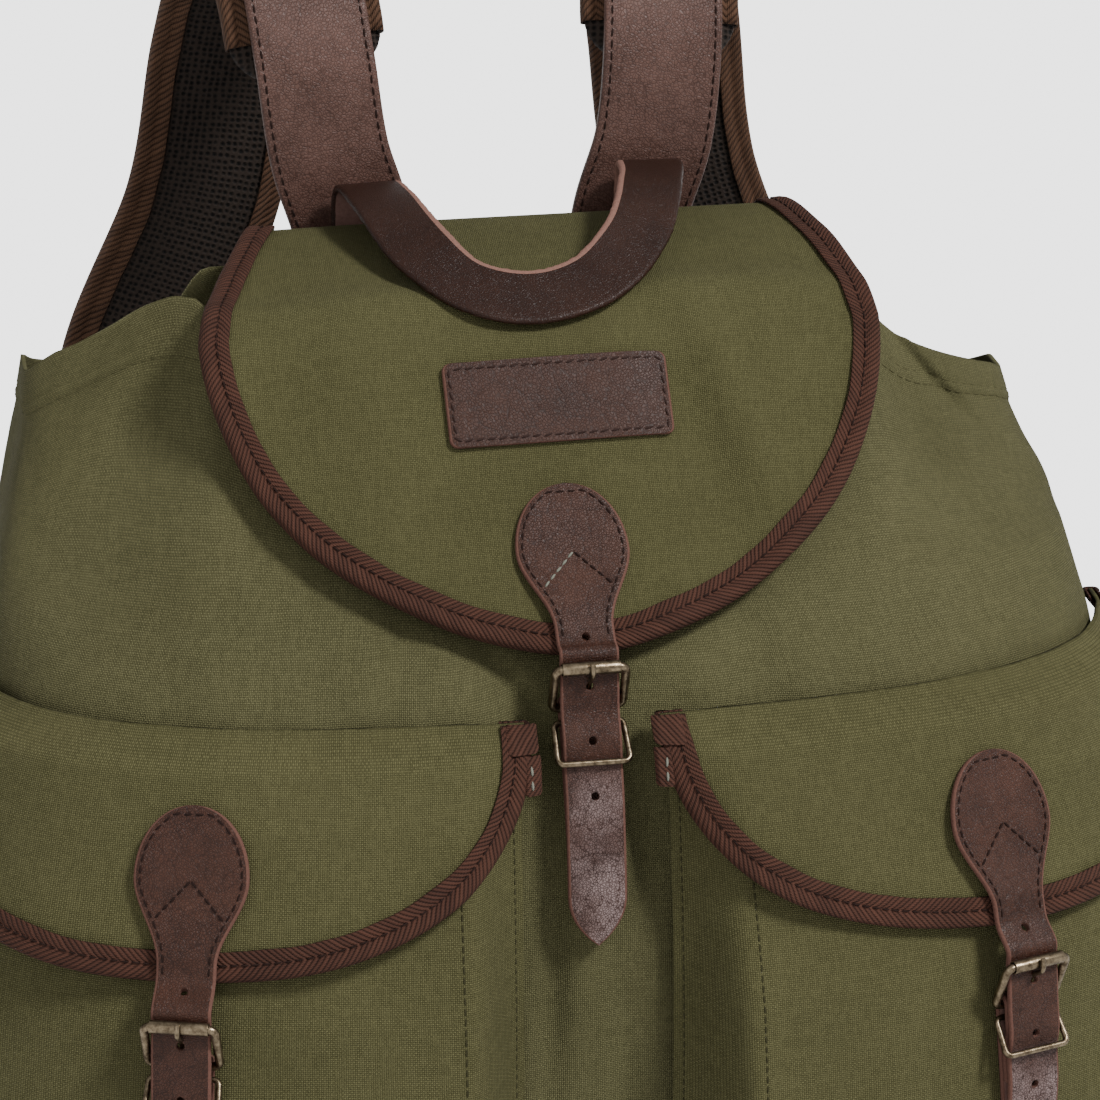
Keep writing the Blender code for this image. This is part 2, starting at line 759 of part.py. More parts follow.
def strap_rows(seat, over_lid):
    """The strap's middle line as out and height: over the lid or flap, behind the roller, and down."""
    heel = seat.heel_height
    rows = list(over_lid)
    rows += [
        (HEEL_OUT + 0.0034, heel + ROLLER_UP + 0.0045),
        (HEEL_OUT + 0.0036, heel + ROLLER_UP),
        (HEEL_OUT + 0.0046, heel + ROLLER_UP / 2),
        (HEEL_OUT + 0.0053, heel),
    ]
    return rows + tail_rows(seat)


def teardrop_edge(length):
    """The right edge of a strap that starts as a teardrop and ends in a rounded point."""
    right = [(0.0, 0.0)]
    for step in range(1, 7):
        turn = math.radians(90 * step / 6)
        along = TEARDROP_TIP_TO_WIDEST * (1 - math.cos(turn))
        right.append((TEARDROP_WIDTH / 2 * math.sin(turn) ** 0.95, along))
    neck = TEARDROP_LENGTH - TEARDROP_TIP_TO_WIDEST
    for step in range(1, 6):
        share = step / 5
        across = lerp(TEARDROP_WIDTH / 2, STRAP_WIDTH / 2, smoothstep(share))
        right.append((across, TEARDROP_TIP_TO_WIDEST + neck * share))
    for step in range(5):
        turn = math.radians(90 * step / 5)
        along = length - STRAP_POINT_LENGTH * (1 - math.sin(turn))
        right.append((STRAP_WIDTH / 2 * math.cos(turn) ** 0.8, along))
    return right + [(0.0, length)]


def make_strap(seat, over_lid, name):
    ribbon = local_ribbon(seat, strap_rows(seat, over_lid))
    prong_height = seat.heel_height + PRONG_CROSSING
    crossings = [along for along, point in zip(ribbon.lengths, ribbon.points) if point.z > prong_height]
    below = [along for along, point in zip(ribbon.lengths, ribbon.points) if point.z <= prong_height]
    heights = [ribbon.at(crossings[-1])[0].z, ribbon.at(below[0])[0].z]
    share = (heights[0] - prong_height) / (heights[0] - heights[1])
    prong_along = lerp(crossings[-1], below[0], share)
    holes = [half_hole(prong_along, stretch=0.0042)]
    for step in (-1, 1, 2):
        holes.append(half_hole(prong_along + step * STRAP_HOLE_PITCH))
    sheet = cut_punched_strip(teardrop_edge(ribbon.length()), holes, STRAP_LEATHER, ribbon.creases())
    bend_sheet(sheet, ribbon.place, name, "leather")


def anchor_back(seat, down):
    """The middle of the anchor's inner layer at a distance below the heel bar."""
    lift = 0.0005 + ANCHOR_LEATHER / 2
    return max(seat.backing(seat.heel_height - down) + lift, HEEL_OUT - FOLD_RADIUS)


def anchor_rows(seat):
    """The anchor strap's middle line: up the surface, round the heel bar and down in front."""
    heel = seat.heel_height
    rows = [(anchor_back(seat, down), heel - down) for down in (ANCHOR_LENGTH, 0.028, 0.016, ANCHOR_NECK)]
    for step in range(7):
        turn = math.radians(180 * step / 6)
        rows.append((HEEL_OUT - FOLD_RADIUS * math.cos(turn), heel + FOLD_RADIUS * math.sin(turn)))
    layer = ANCHOR_LEATHER + GAP + 0.0002
    for down, apart in ((ANCHOR_NECK, ANCHOR_NECK_DEPTH), (0.016, layer), (0.0275, layer)):
        rows.append((anchor_back(seat, down) + apart, heel - down))
    return rows


def make_anchor(seat, name):
    rows = anchor_rows(seat)
    ribbon = local_ribbon(seat, rows)
    turn_start, turn_end = ribbon.lengths[4], ribbon.lengths[10]
    width, spare = ANCHOR_SLOT
    slot = half_slot(turn_start - spare, turn_end + spare, width)
    half, end, corner = ANCHOR_WIDTH / 2, ribbon.length(), 0.002
    edge = [(0.0, 0.0), (half - corner, 0.0), (half, corner), (half, end - corner), (half - corner, end), (0.0, end)]
    sheet = cut_punched_strip(edge, [slot], ANCHOR_LEATHER, ribbon.creases())
    bend_sheet(sheet, ribbon.place, name, "leather")


def wire_loop(points, wire, name, cyclic=True, finish_name="antique_brass"):
    """A bent wire through world points."""
    curve = bpy.data.curves.new(name, "CURVE")
    curve.dimensions = "3D"
    curve.bevel_depth = wire / 2
    curve.bevel_resolution = 1
    curve.use_fill_caps = not cyclic
    spline = curve.splines.new("POLY")
    spline.points.add(len(points) - 1)
    for point, co in zip(spline.points, points):
        point.co = (*co, 1)
    spline.use_cyclic_u = cyclic
    drawn = bpy.data.objects.new(name, curve)
    RUCKSACK.objects.link(drawn)
    mesh = bpy.data.meshes.new_from_object(drawn.evaluated_get(bpy.context.evaluated_depsgraph_get()))
    bpy.data.objects.remove(drawn, do_unlink=True)
    shape = bmesh.new()
    shape.from_mesh(mesh)
    bmesh.ops.remove_doubles(shape, verts=shape.verts, dist=1e-6)
    bmesh.ops.recalc_face_normals(shape, faces=shape.faces)
    piece = add_piece(name, to_mesh(shape, name), finish_name)
    piece.data.shade_smooth()
    return piece


def ring_outline(top_width, bottom_width, height, corner):
    """A rounded frame as across and down, from a bar at 0 to a bar at its height."""
    outline = []
    corners = (
        (top_width / 2 - corner, corner, -90),
        (bottom_width / 2 - corner, height - corner, 0),
        (-bottom_width / 2 + corner, height - corner, 90),
        (-top_width / 2 + corner, corner, 180),
    )
    for across, down, first in corners:
        for step in range(3):
            turn = math.radians(first + 45 * step)
            outline.append((across + corner * math.cos(turn), down + corner * math.sin(turn)))
    return outline


def make_buckle(seat, name):
    heel = seat.heel_height
    rise = math.hypot(ROLLER_FORWARD, ROLLER_UP)
    width = FRAME_WIDTH - FRAME_WIRE
    frame = []
    for across, down in ring_outline(width, width, rise, FRAME_CORNER):
        share = down / rise
        frame.append(seat.world(across, HEEL_OUT + ROLLER_FORWARD * share, heel + ROLLER_UP * share))
    wire_loop(frame, FRAME_WIRE, name + "_frame")
    make_roller(seat, name + "_roller")
    curl = []
    for step in range(7):
        turn = math.radians(-150 + 210 * step / 6)
        radius = (FRAME_WIRE + PRONG_WIRE) / 2 + GAP
        curl.append((HEEL_OUT - radius * math.sin(turn + math.pi / 2), heel + radius * math.cos(turn + math.pi / 2)))
    up = ((0.00275, 0.0030), (0.0027, 0.0066), (0.0036, 0.0092), (0.0062, 0.0116), (0.0098, 0.0137),
          (0.0107, 0.0161), (0.0101, 0.0183))
    rows = [row for row in reversed(curl)] + [(HEEL_OUT + out, heel + rise_up) for out, rise_up in up]
    wire_loop([seat.world(0, out, height) for out, height in rows], PRONG_WIRE, name + "_prong", cyclic=False)


def make_roller(seat, name):
    """A short tube turned about the buckle's top bar."""
    half = ROLLER_LENGTH / 2
    profile = bmesh.new()
    corners = [(ROLLER_DIAMETER / 2, half), (ROLLER_DIAMETER / 2, -half), (ROLLER_BORE / 2, -half),
               (ROLLER_BORE / 2, half)]
    ring = [profile.verts.new((radius, 0, height)) for radius, height in corners]
    for i, vertex in enumerate(ring):
        profile.edges.new((vertex, ring[(i + 1) % 4]))
    roller = add_piece(name, to_mesh(profile, name), "antique_brass")
    turned = roller.modifiers.new("turned", "SCREW")
    turned.axis = "Z"
    turned.steps = 12
    turned.render_steps = 12
    turned.use_merge_vertices = True
    turned.merge_threshold = 0.00001
    roller.location = seat.world(0, HEEL_OUT + ROLLER_FORWARD, seat.heel_height + ROLLER_UP)
    roller.rotation_euler = seat.side.to_track_quat("Z", "Y").to_euler()


def make_keeper(seat, name):
    """The wire keeper: its back bar in the anchor's fold, its front bar over the strap."""
    neck = anchor_back(seat, ANCHOR_NECK) + ANCHOR_NECK_DEPTH / 2
    back_out = lerp(HEEL_OUT, neck, KEEPER_DOWN / ANCHOR_NECK)
    back_height = seat.heel_height - KEEPER_DOWN
    front_height = back_height - KEEPER_DROP
    tail = tail_rows(seat)
    strap_out = float(np.interp(-front_height, [-row[1] for row in tail], [row[0] for row in tail]))
    front_out = strap_out + STRAP_LEATHER / 2 + GAP + KEEPER_WIRE / 2 + 0.0004
    length = math.hypot(front_out - back_out, KEEPER_DROP)
    width = KEEPER_WIDTH - KEEPER_WIRE
    points = []
    for across, down in ring_outline(width - 0.001, width, length, KEEPER_CORNER):
        share = down / length
        points.append(seat.world(across, lerp(back_out, front_out, share), back_height - KEEPER_DROP * share))
    wire_loop(points, KEEPER_WIRE, name)


def fasten(seat, over_lid, prefix):
    make_strap(seat, over_lid, prefix + "_strap")
    make_anchor(seat, prefix + "_anchor_strap")
    make_buckle(seat, prefix + "_buckle")
    make_keeper(seat, prefix + "_keeper_ring")


def make_lid_fastening():
    seat = lid_seat()
    ribbon = lid_ribbon()
    length = ribbon.length()
    canvas_lift = LID_CANVAS / 2 + GAP + STRAP_LEATHER / 2 + 0.0001
    tape_lift = canvas_lift + TAPE + LID_TAPE_GAP
    over_lid = []
    for from_edge, lift in ((0.0585, canvas_lift), (0.045, canvas_lift), (0.030, canvas_lift + 0.0002),
                            (0.014, tape_lift), (0.001, tape_lift)):
        point = ribbon.place(0, length - from_edge, lift)
        over_lid.append((seat.out_of(point), point.z))
    fasten(seat, over_lid, "lid")


# Pockets and flaps


def pocket_out(across, height):
    """How far the pocket's cloth stands off the body: nothing at its sewn edges, more in its middle."""
    from_edge = min(across, POCKET_WIDTH - across)
    rise = smoothstep(from_edge / POCKET_GUSSET)
    foot = smoothstep((height - POCKET_FOOT) / POCKET_FOOT_RISE)
    return POCKET_ON_BODY + table_value(POCKET_DEPTHS, height, 1) * rise * foot


def make_pocket(side_name):
    side = SIDES[side_name]
    outline = rounded_box(POCKET_WIDTH, 0.0, POCKET_TOP - POCKET_FOOT + POCKET_CORNER, POCKET_CORNER, 3)
    top = POCKET_TOP - POCKET_FOOT
    outline = [(across, along) for across, along in outline if along < top]
    outline = [(POCKET_WIDTH / 2, top), (-POCKET_WIDTH / 2, top)] + outline
    edge = POCKET_WIDTH / 2 - POCKET_GUSSET
    creases_across = [-edge - 0.012, -edge - 0.005, -edge, -0.060, -0.030, 0.0, 0.030, 0.060, edge, edge + 0.005,
                      edge + 0.012]
    creases_along = [0.007, 0.016, POCKET_FOOT_RISE, 0.060, 0.100, 0.140, 0.170, 0.196]
    sheet = cut_sheet(outline, CANVAS, creases_across, creases_along)

    def place(across, along, off):
        from_inner = across + POCKET_WIDTH / 2
        height = POCKET_FOOT + along
        out = pocket_out(from_inner, height) + CANVAS / 2 + off
        return on_body(side * (POCKET_INNER_EDGE + from_inner) / FRONT_ARC, height, out)

    bend_sheet(sheet, place, "pocket_" + side_name, "canvas")


def flap_half_width(along):
    share = min(along / FLAP_LENGTH, 1.0)
    return FLAP_HALF_WIDTH * (1 - share ** FLAP_FULLNESS) ** FLAP_ROUNDNESS


def flap_out_and_drop(across, along):
    """How far a flap's inner face is off the body, and how far it has dropped below its seam."""
    drop = along * 0.955
    height = FLAP_SEAM - drop
    reach = smoothstep(along / FLAP_REACH)
    depth = table_value(POCKET_DEPTHS, min(height, POCKET_TOP), 1)
    rise = smoothstep((POCKET_WIDTH / 2 + FLAP_OVERHANG - abs(across)) / FLAP_GUSSET)
    full = POCKET_ON_BODY + depth * rise + FLAP_CLEARANCE
    seam = POCKET_ON_BODY + FLAP_END_LIFT * smoothstep((abs(across) - 0.088) / 0.012)
    return lerp(seam, full, reach), drop


def flap_place(side):
    def place(across, along, off):
        out, drop = flap_out_and_drop(across, along)
        centre = POCKET_INNER_EDGE + POCKET_WIDTH / 2
        out_all = out + CANVAS / 2 + off
        return on_body(side * (centre + across) / FRONT_ARC, FLAP_SEAM - drop, out_all)

    return place


def make_flap(side_name):
    outline = creased_outline(flap_half_width, FLAP_LENGTH, FLAP_CREASES_ACROSS, FLAP_CREASES_ALONG)
    creases_across = mirrored(FLAP_CREASES_ACROSS)
    sheet = cut_sheet(outline, CANVAS, creases_across, FLAP_CREASES_ALONG)
    acrosses = [-FLAP_HALF_WIDTH] + creases_across + [FLAP_HALF_WIDTH]
    place = between_creases(flap_place(SIDES[side_name]), acrosses, [0.0, *FLAP_CREASES_ALONG, FLAP_LENGTH])
    bend_sheet(sheet, place, "flap_" + side_name, "canvas")
    bind_edge(outline, place, CANVAS, FLAP_TAPE_GAP, "flap_binding_" + side_name)


def make_pocket_fastening(side_name):
    side = SIDES[side_name]
    seat = pocket_seat(side)
    place = flap_place(side)
    canvas_lift = CANVAS / 2 + GAP + STRAP_LEATHER / 2 + 0.0005
    tape_lift = canvas_lift + TAPE + FLAP_TAPE_GAP
    over_flap = []
    for along, lift in ((POCKET_STRAP_START, canvas_lift), (0.040, canvas_lift), (0.054, canvas_lift + 0.0004),
                        (0.066, tape_lift), (0.0755, tape_lift)):
        point = place(0, along, lift)
        over_flap.append((seat.out_of(point), point.z))
    fasten(seat, over_flap, "pocket_" + side_name)


# Handle and shoulder straps


def make_handle():
    rows = smooth_rows(HANDLE_ROUTE, 2)
    ribbon = Ribbon([row[:3] for row in rows], [row[3:] for row in rows])
    outline = rounded_box(HANDLE_WIDTH, 0.0, ribbon.length(), 0.002, 1)
    sheet = cut_sheet(outline, HANDLE_LEATHER, [], ribbon.creases())
    bend_sheet(sheet, ribbon.place, "carry_handle", "leather")


def side_ribbon(side, route, per_span):
    rows = smooth_rows(route, per_span)
    return Ribbon([(side * x, y, z) for x, y, z in rows], [(-1, 0, 0)] * len(rows))


def make_shoulder_strap(side_name):
    side = SIDES[side_name]
    leather = side_ribbon(side, LEATHER_ROUTE, 3)
    outline = rounded_box(STRAP_LEATHER_WIDTH, 0.0, leather.length(), 0.004, 2)
    sheet = cut_sheet(outline, SHOULDER_LEATHER, [], leather.creases())
    bend_sheet(sheet, leather.place, "strap_leather_" + side_name, "leather")
    pad = side_ribbon(side, PAD_ROUTE, 2)
    outline = rounded_box(PAD_WIDTH, 0.0, pad.length(), 0.014, 3)
    sheet = cut_sheet(outline, PAD_THICKNESS, [-0.022, 0.022], pad.creases())

    def rounded(across, along, off):
        squeeze = 1 - 0.45 * smoothstep((abs(across) - 0.020) / 0.009)
        return pad.place(across, along, off * squeeze)

    bend_sheet(sheet, rounded, "strap_pad_" + side_name, "spacer_mesh")
    make_slider(side_name)


def make_slider(side_name):
    """The metal loop between pad and webbing, the webbing that hangs from it, and its tab at the foot."""
    side = SIDES[side_name]
    pad_end = Vector(PAD_ROUTE[-1])
    webbing_top = Vector(WEBBING_ROUTE[0])
    run = (webbing_top - pad_end).normalized()
    start = pad_end + run * 0.0180
    points = []
    width = SLIDER_WIDTH - SLIDER_WIRE
    for across, down in ring_outline(width, width, SLIDER_HEIGHT, SLIDER_CORNER):
        centre = start + run * down
        points.append(Vector((side * (centre.x + across), centre.y, centre.z)))
    wire_loop(points, SLIDER_WIRE, "strap_slider_" + side_name)
    radius = SLIDER_WIRE / 2 + GAP + 0.0002 + WEBBING / 2
    loop_webbing(side, start, -run, radius, LOOP_TAIL, "strap_loop_" + side_name)
    low_bar = start + run * SLIDER_HEIGHT
    make_webbing(side_name, low_bar, run, radius)


def fold_points(bar, away, radius, tail):
    """A folded webbing's middle line in the strap's plane: one leg, round a bar, and the other leg."""
    across = Vector((1, 0, 0))
    off = away.cross(across).normalized()
    points = [bar + away * tail + off * radius * 0.62]
    points.append(bar + away * 0.006 + off * radius)
    for step in range(7):
        turn = math.radians(90 - 180 * step / 6)
        points.append(bar + off * radius * math.sin(turn) - away * radius * math.cos(turn))
    points.append(bar + away * 0.006 - off * radius)
    points.append(bar + away * tail - off * radius * 0.62)
    return points


def loop_webbing(side, bar, away, radius, tail, name):
    points = [Vector((side * p.x, p.y, p.z)) for p in fold_points(bar, away, radius, tail)]
    ribbon = Ribbon(points, [(-1, 0, 0)] * len(points))
    outline = rounded_box(WEBBING_WIDTH, 0.0, ribbon.length(), 0.001, 1)
    sheet = cut_sheet(outline, WEBBING, [], ribbon.creases())
    bend_sheet(sheet, ribbon.place, name, "webbing")


def on_back(side, x, height, out):
    """A point off the back panel, with the level direction across the panel there."""
    xs, _, lengths = section(height)[1]
    around = 1 + float(np.interp(-x, -xs, lengths)) / lengths[-1]
    point = on_body(side * around, height, out)
    ahead = on_body(side * (around + 0.02), height, out)
    across = (ahead - point).normalized()
    return point, across * (-1 if across.x > 0 else 1)


def make_webbing(side_name, bar, run, radius):
    side = SIDES[side_name]
    across = Vector((1, 0, 0))
    off = run.cross(across).normalized()
    points = [bar + run * 0.020 + off * (radius + 0.0006)]
    points.append(bar + run * 0.006 + off * radius)
    for step in range(7):
        turn = math.radians(90 - 180 * step / 6)
        points.append(bar + off * radius * math.sin(turn) - run * radius * math.cos(turn))
    points.append(bar + run * 0.008 - off * radius)
    points = [Vector((side * point.x, point.y, point.z)) for point in points]
    acrosses = [Vector((-1, 0, 0))] * len(points)
    start = bar + run * 0.022 - off * radius
    route = [(side * start.x, start.y, start.z, -1, 0, 0)]
    route += [(side * x, y, z, -1, 0, 0) for x, y, z in WEBBING_ROUTE[1:]]
    for x, height, off_back in WEBBING_FOOT:
        point, level = on_back(side, x, height, off_back + WEBBING / 2)
        route.append((*point, *level))
    for row in smooth_rows(route, 2):
        points.append(Vector(row[:3]))
        acrosses.append(Vector(row[3:]))
    ribbon = Ribbon(points, acrosses)
    outline = rounded_box(WEBBING_WIDTH, 0.0, ribbon.length(), 0.001, 1)
    sheet = cut_sheet(outline, WEBBING, [], ribbon.creases())
    bend_sheet(sheet, ribbon.place, "strap_webbing_" + side_name, "webbing")
    make_tab(side_name)


def make_tab(side_name):
    """The leather tab over the webbing's lower end, on the foot of the back panel."""
    side = SIDES[side_name]
    width, height = TAB_SIZE
    lift = WEBBING_OFF_BACK + WEBBING + GAP + ANCHOR_LEATHER / 2 + 0.0006
    outline = [(-width / 2, 0.0), (width / 2, 0.0), (width / 2, height * 0.35), (width * 0.30, height),
               (-width * 0.30, height), (-width / 2, height * 0.35)]
    rows = [on_back(side, WEBBING_FOOT[-1][0], TAB_FOOT + along, lift) for along in (0, height / 2, height)]
    ribbon = Ribbon([point for point, _ in rows], [across for _, across in rows])
    sheet = cut_sheet(outline, ANCHOR_LEATHER, [], ribbon.creases())
    bend_sheet(sheet, ribbon.place, "strap_tab_" + side_name, "leather")


def make_rucksack():
    make_body()
    make_lid()
    make_patch()
    make_lid_fastening()
    make_handle()
    for side_name in SIDES:
        make_pocket(side_name)
        make_flap(side_name)
        make_pocket_fastening(side_name)
        make_shoulder_strap(side_name)
    for piece in RUCKSACK.objects:
        piece.location.y -= DEPTH_CENTRE


clear_scene()
RUCKSACK = new_collection("canvas_rucksack")
make_rucksack()
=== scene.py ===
"""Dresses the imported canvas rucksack: canvas panels, bound lid and flaps, leather straps and brass buckles.

Lengths are in metres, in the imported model's frame. Across and along are measured on the flat cloth or leather.
"""

import itertools
import math

import bmesh
import bpy
import numpy as np
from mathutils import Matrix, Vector, noise


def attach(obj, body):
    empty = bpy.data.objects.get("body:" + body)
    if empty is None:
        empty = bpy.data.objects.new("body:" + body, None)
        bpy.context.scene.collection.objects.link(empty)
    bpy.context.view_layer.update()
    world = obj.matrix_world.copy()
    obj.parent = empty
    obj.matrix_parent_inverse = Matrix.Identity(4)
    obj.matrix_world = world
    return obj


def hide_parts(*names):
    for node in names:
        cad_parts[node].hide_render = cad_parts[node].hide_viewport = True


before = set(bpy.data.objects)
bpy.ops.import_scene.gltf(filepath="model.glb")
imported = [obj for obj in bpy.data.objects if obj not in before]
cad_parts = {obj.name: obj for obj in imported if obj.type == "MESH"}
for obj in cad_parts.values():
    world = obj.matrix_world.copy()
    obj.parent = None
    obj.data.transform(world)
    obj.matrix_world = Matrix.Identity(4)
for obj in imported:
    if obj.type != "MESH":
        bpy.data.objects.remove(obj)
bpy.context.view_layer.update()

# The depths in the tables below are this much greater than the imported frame's
DEPTH_CENTRE = 0.0310
INTO_FRAME = np.array([0.0, DEPTH_CENTRE, 0.0])

# Cloth and leather thicknesses
CANVAS = 0.0015
LID_CANVAS = 0.0018
STRAP_LEATHER = 0.0022
ANCHOR_LEATHER = 0.0020
HANDLE_LEATHER = 0.0026
PATCH_LEATHER = 0.0020
SHOULDER_LEATHER = 0.0036
WEBBING = 0.0018
TAPE = 0.0009
TAPE_REACH = 0.0085
LID_TAPE_GAP = 0.0007
FLAP_TAPE_GAP = 0.0009
GAP = 0.0003

# The body: height, half width, side depth, front and back centre lines, squareness, pinch of the front
BODY_SECTIONS = (
    (0.000, 0.168, 0.000, -0.078, 0.068, 3.0, 0.00),
    (0.010, 0.182, 0.000, -0.090, 0.076, 2.8, 0.00),
    (0.060, 0.194, 0.000, -0.099, 0.080, 2.6, 0.00),
    (0.130, 0.198, 0.000, -0.103, 0.082, 2.5, 0.00),
    (0.200, 0.197, 0.001, -0.099, 0.082, 2.5, 0.00),
    (0.250, 0.193, 0.004, -0.088, 0.082, 2.6, 0.01),
    (0.290, 0.185, 0.014, -0.051, 0.081, 3.0, 0.07),
    (0.330, 0.176, 0.030, -0.021, 0.079, 3.6, 0.19),
    (0.354, 0.172, 0.038, -0.004, 0.078, 4.0, 0.28),
)
BODY_TOP = BODY_SECTIONS[-1][0]
BACK_SQUARENESS = 4.5
PINCH_ENDS = 0.6
# How much higher the mouth's front edge is at each x, left to right: it rises near the lid and dips at its ends
MOUTH_FRONT_EDGE = ((-0.172, -0.0120), (-0.168, -0.0075), (-0.162, -0.0030), (-0.150, 0.0020), (-0.140, 0.0052),
                    (-0.130, 0.0092), (-0.120, 0.0128), (-0.114, 0.0130), (-0.106, 0.0080), (-0.092, 0.0000),
                    (0.094, 0.0000), (0.108, 0.0020), (0.116, -0.0010), (0.120, -0.0040), (0.1245, -0.0085),
                    (0.129, -0.0126), (0.1335, -0.0149), (0.138, -0.0169), (0.1425, -0.0188), (0.147, -0.0204),
                    (0.156, -0.0233), (0.1645, -0.0262), (0.172, -0.0310))
MOUTH_BACK_RISE = 0.008
MOUTH_BACK_HALF_WIDTH = 0.102
MOUTH_BACK_DROP = 0.020
# How much further the rear edge drops towards the right, each as depth, where it starts and how far it takes
MOUTH_RIGHT_REAR_DROPS = ((0.010, 0.100, 0.030), (0.0095, 0.135, 0.015))
MOUTH_BACK_REACH = 0.024
MOUTH_REAR = (0.045, 0.025)
MOUTH_LEVELLING_HEIGHT = 0.075
HEM_HEIGHT = 0.015
HEM_STAND = 0.0011

# Broad dents and soft folds of the body: centre x, height, reach across and up, lean in degrees, depth
BODY_FOLDS = (
    (0.000, 0.252, 0.034, 0.042, 0, 0.0090),
    (-0.021, 0.195, 0.010, 0.050, 0, 0.0060),
    (0.022, 0.212, 0.009, 0.030, 0, 0.0050),
    (-0.024, 0.250, 0.006, 0.024, -38, 0.0035),
    (0.060, 0.262, 0.060, 0.008, 76, 0.0020),
    (-0.128, 0.322, 0.012, 0.030, 35, 0.0050),
    (0.128, 0.318, 0.012, 0.030, -35, 0.0050),
    (-0.0125, 0.178, 0.0045, 0.055, 3, 0.0045),
    (0.0165, 0.205, 0.0045, 0.022, -4, 0.0040),
    (-0.019, 0.251, 0.0038, 0.018, -36, 0.0045),
    (-0.118, 0.352, 0.022, 0.030, 0, 0.0080),
    (0.118, 0.352, 0.022, 0.028, 0, 0.0080),
    (0.010, 0.140, 0.006, 0.050, -6, 0.0016),
    (-0.062, 0.262, 0.050, 0.006, -72, 0.0018),
    (-0.139, 0.332, 0.016, 0.042, 34, 0.0170),
    (-0.095, 0.282, 0.070, 0.007, 66, 0.0012),
    (0.118, 0.285, 0.050, 0.006, -70, 0.0013),
    (0.139, 0.343, 0.0034, 0.017, -43, 0.0050),
)

# The lid: depth and height along its centre line from the back seam to the front edge
LID_PROFILE = (
    (0.0802, 0.3440),
    (0.0803, 0.3640),
    (0.0730, 0.3738),
    (0.0600, 0.3770),
    (0.0260, 0.3720),
    (-0.0080, 0.3610),
    (-0.0410, 0.3140),
    (-0.0790, 0.2696),
)
LID_HALF_WIDTH = 0.1155
LID_ROOT_HALF_WIDTH = 0.0935
LID_WIDEST_FROM_EDGE = 0.1163
LID_CORNER_LENGTH = 0.080
LID_CORNER_FULLNESS = 1.25
LID_ROUNDNESS = 0.58
LID_DROOP_LEFT = 0.004
LID_DROOP_RIGHT = 0.007
LID_SKEW = 0.0070

PATCH_SIZE = (0.077, 0.029)
PATCH_CORNER = 0.0028
PATCH_CENTRE = (0.0015, 0.028)
PATCH_TURN = math.radians(-0.8)

# Straps and buckles
STRAP_WIDTH = 0.020
TEARDROP_WIDTH = 0.0385
TEARDROP_TIP_TO_WIDEST = 0.024
TEARDROP_LENGTH = 0.052
STRAP_POINT_LENGTH = 0.017
STRAP_POINT_FULLNESS = 0.8
STRAP_HOLE = 0.0028
STRAP_HOLE_PITCH = 0.0185
STRAP_TAIL_ROWS = ((0.009, 0.0094), (0.017, 0.0072), (0.028, 0.0068), (0.044, 0.0045), (0.060, 0.0030),
                   (0.077, 0.0022))
WIRE_BEVEL_STEPS = 5
RING_CORNER_STEPS = 8
FRAME_WIRE = 0.0030
FRAME_WIDTH = 0.0268
ROLLER_DIAMETER = 0.0044
ROLLER_BORE = 0.0036
ROLLER_LENGTH = 0.0196
ROLLER_FORWARD = 0.0072
ROLLER_UP = 0.0160
HEEL_OUT = 0.0045
PRONG_WIRE = 0.0018
PRONG_CROSSING = 0.0095
KEEPER_WIRE = 0.0021
KEEPER_WIDTH = 0.0265
KEEPER_DOWN = 0.0045
KEEPER_DROP = 0.0105
FOLD_RADIUS = 0.0028
ANCHOR_LENGTH = 0.042
ANCHOR_NECK = 0.0085
ANCHOR_NECK_DEPTH = 0.0052
ANCHOR_WIDTH = 0.0190
ANCHOR_SLOT = 0.0040
LID_HEEL_HEIGHT = 0.2511
POCKET_HEEL_HEIGHT = 0.151

# Pockets and flaps
POCKET_INNER_EDGE = 0.025
POCKET_WIDTH = 0.220
POCKET_FOOT = 0.020
POCKET_TOP = 0.238
POCKET_CORNER = 0.030
POCKET_GUSSET = 0.021
POCKET_FOOT_RISE = 0.028
POCKET_ON_BODY = 0.0012
POCKET_DEPTHS = ((0.020, 0.030), (0.060, 0.036), (0.110, 0.036), (0.160, 0.029), (0.200, 0.018), (0.238, 0.008))
FLAP_SEAM = 0.250
FLAP_HALF_WIDTH = 0.1115
FLAP_LENGTH = 0.075
FLAP_FULLNESS = 2.2
FLAP_ROUNDNESS = 0.47
FLAP_REACH = 0.012
FLAP_CLEARANCE = 0.0050
FLAP_OVERHANG = 0.012
FLAP_GUSSET = 0.036
FLAP_END_LIFT = 0.0014
POCKET_STRAP_INWARD = 0.006

# The grab handle: centre x, y, z, then the direction across it
HANDLE_WIDTH = 0.0226
HANDLE_STEPS = 25
HANDLE_ROUTE = (
    (-0.0460, 0.0831, 0.3440, 1.00, 0.00, 0.00),
    (-0.0460, 0.0831, 0.3650, 1.00, 0.00, 0.00),
    (-0.0463, 0.0785, 0.3865, 1.00, 0.00, 0.00),
    (-0.0450, 0.0510, 0.3905, 0.97, 0.22, 0.08),
    (-0.0370, 0.0200, 0.3815, 0.74, 0.52, 0.42),
    (-0.0235, 0.0030, 0.3725, 0.42, 0.76, 0.50),
    (-0.0030, -0.0030, 0.3688, 0.00, 0.82, 0.57),
    (0.0200, 0.0030, 0.3725, -0.40, 0.76, 0.50),
    (0.0380, 0.0205, 0.3835, -0.76, 0.50, 0.42),
    (0.0490, 0.0510, 0.3935, -0.97, 0.22, 0.08),
    (0.0535, 0.0790, 0.3895, -1.00, 0.00, 0.00),
    (0.0540, 0.0831, 0.3680, -1.00, 0.00, 0.00),
    (0.0540, 0.0831, 0.3440, -1.00, 0.00, 0.00),
)

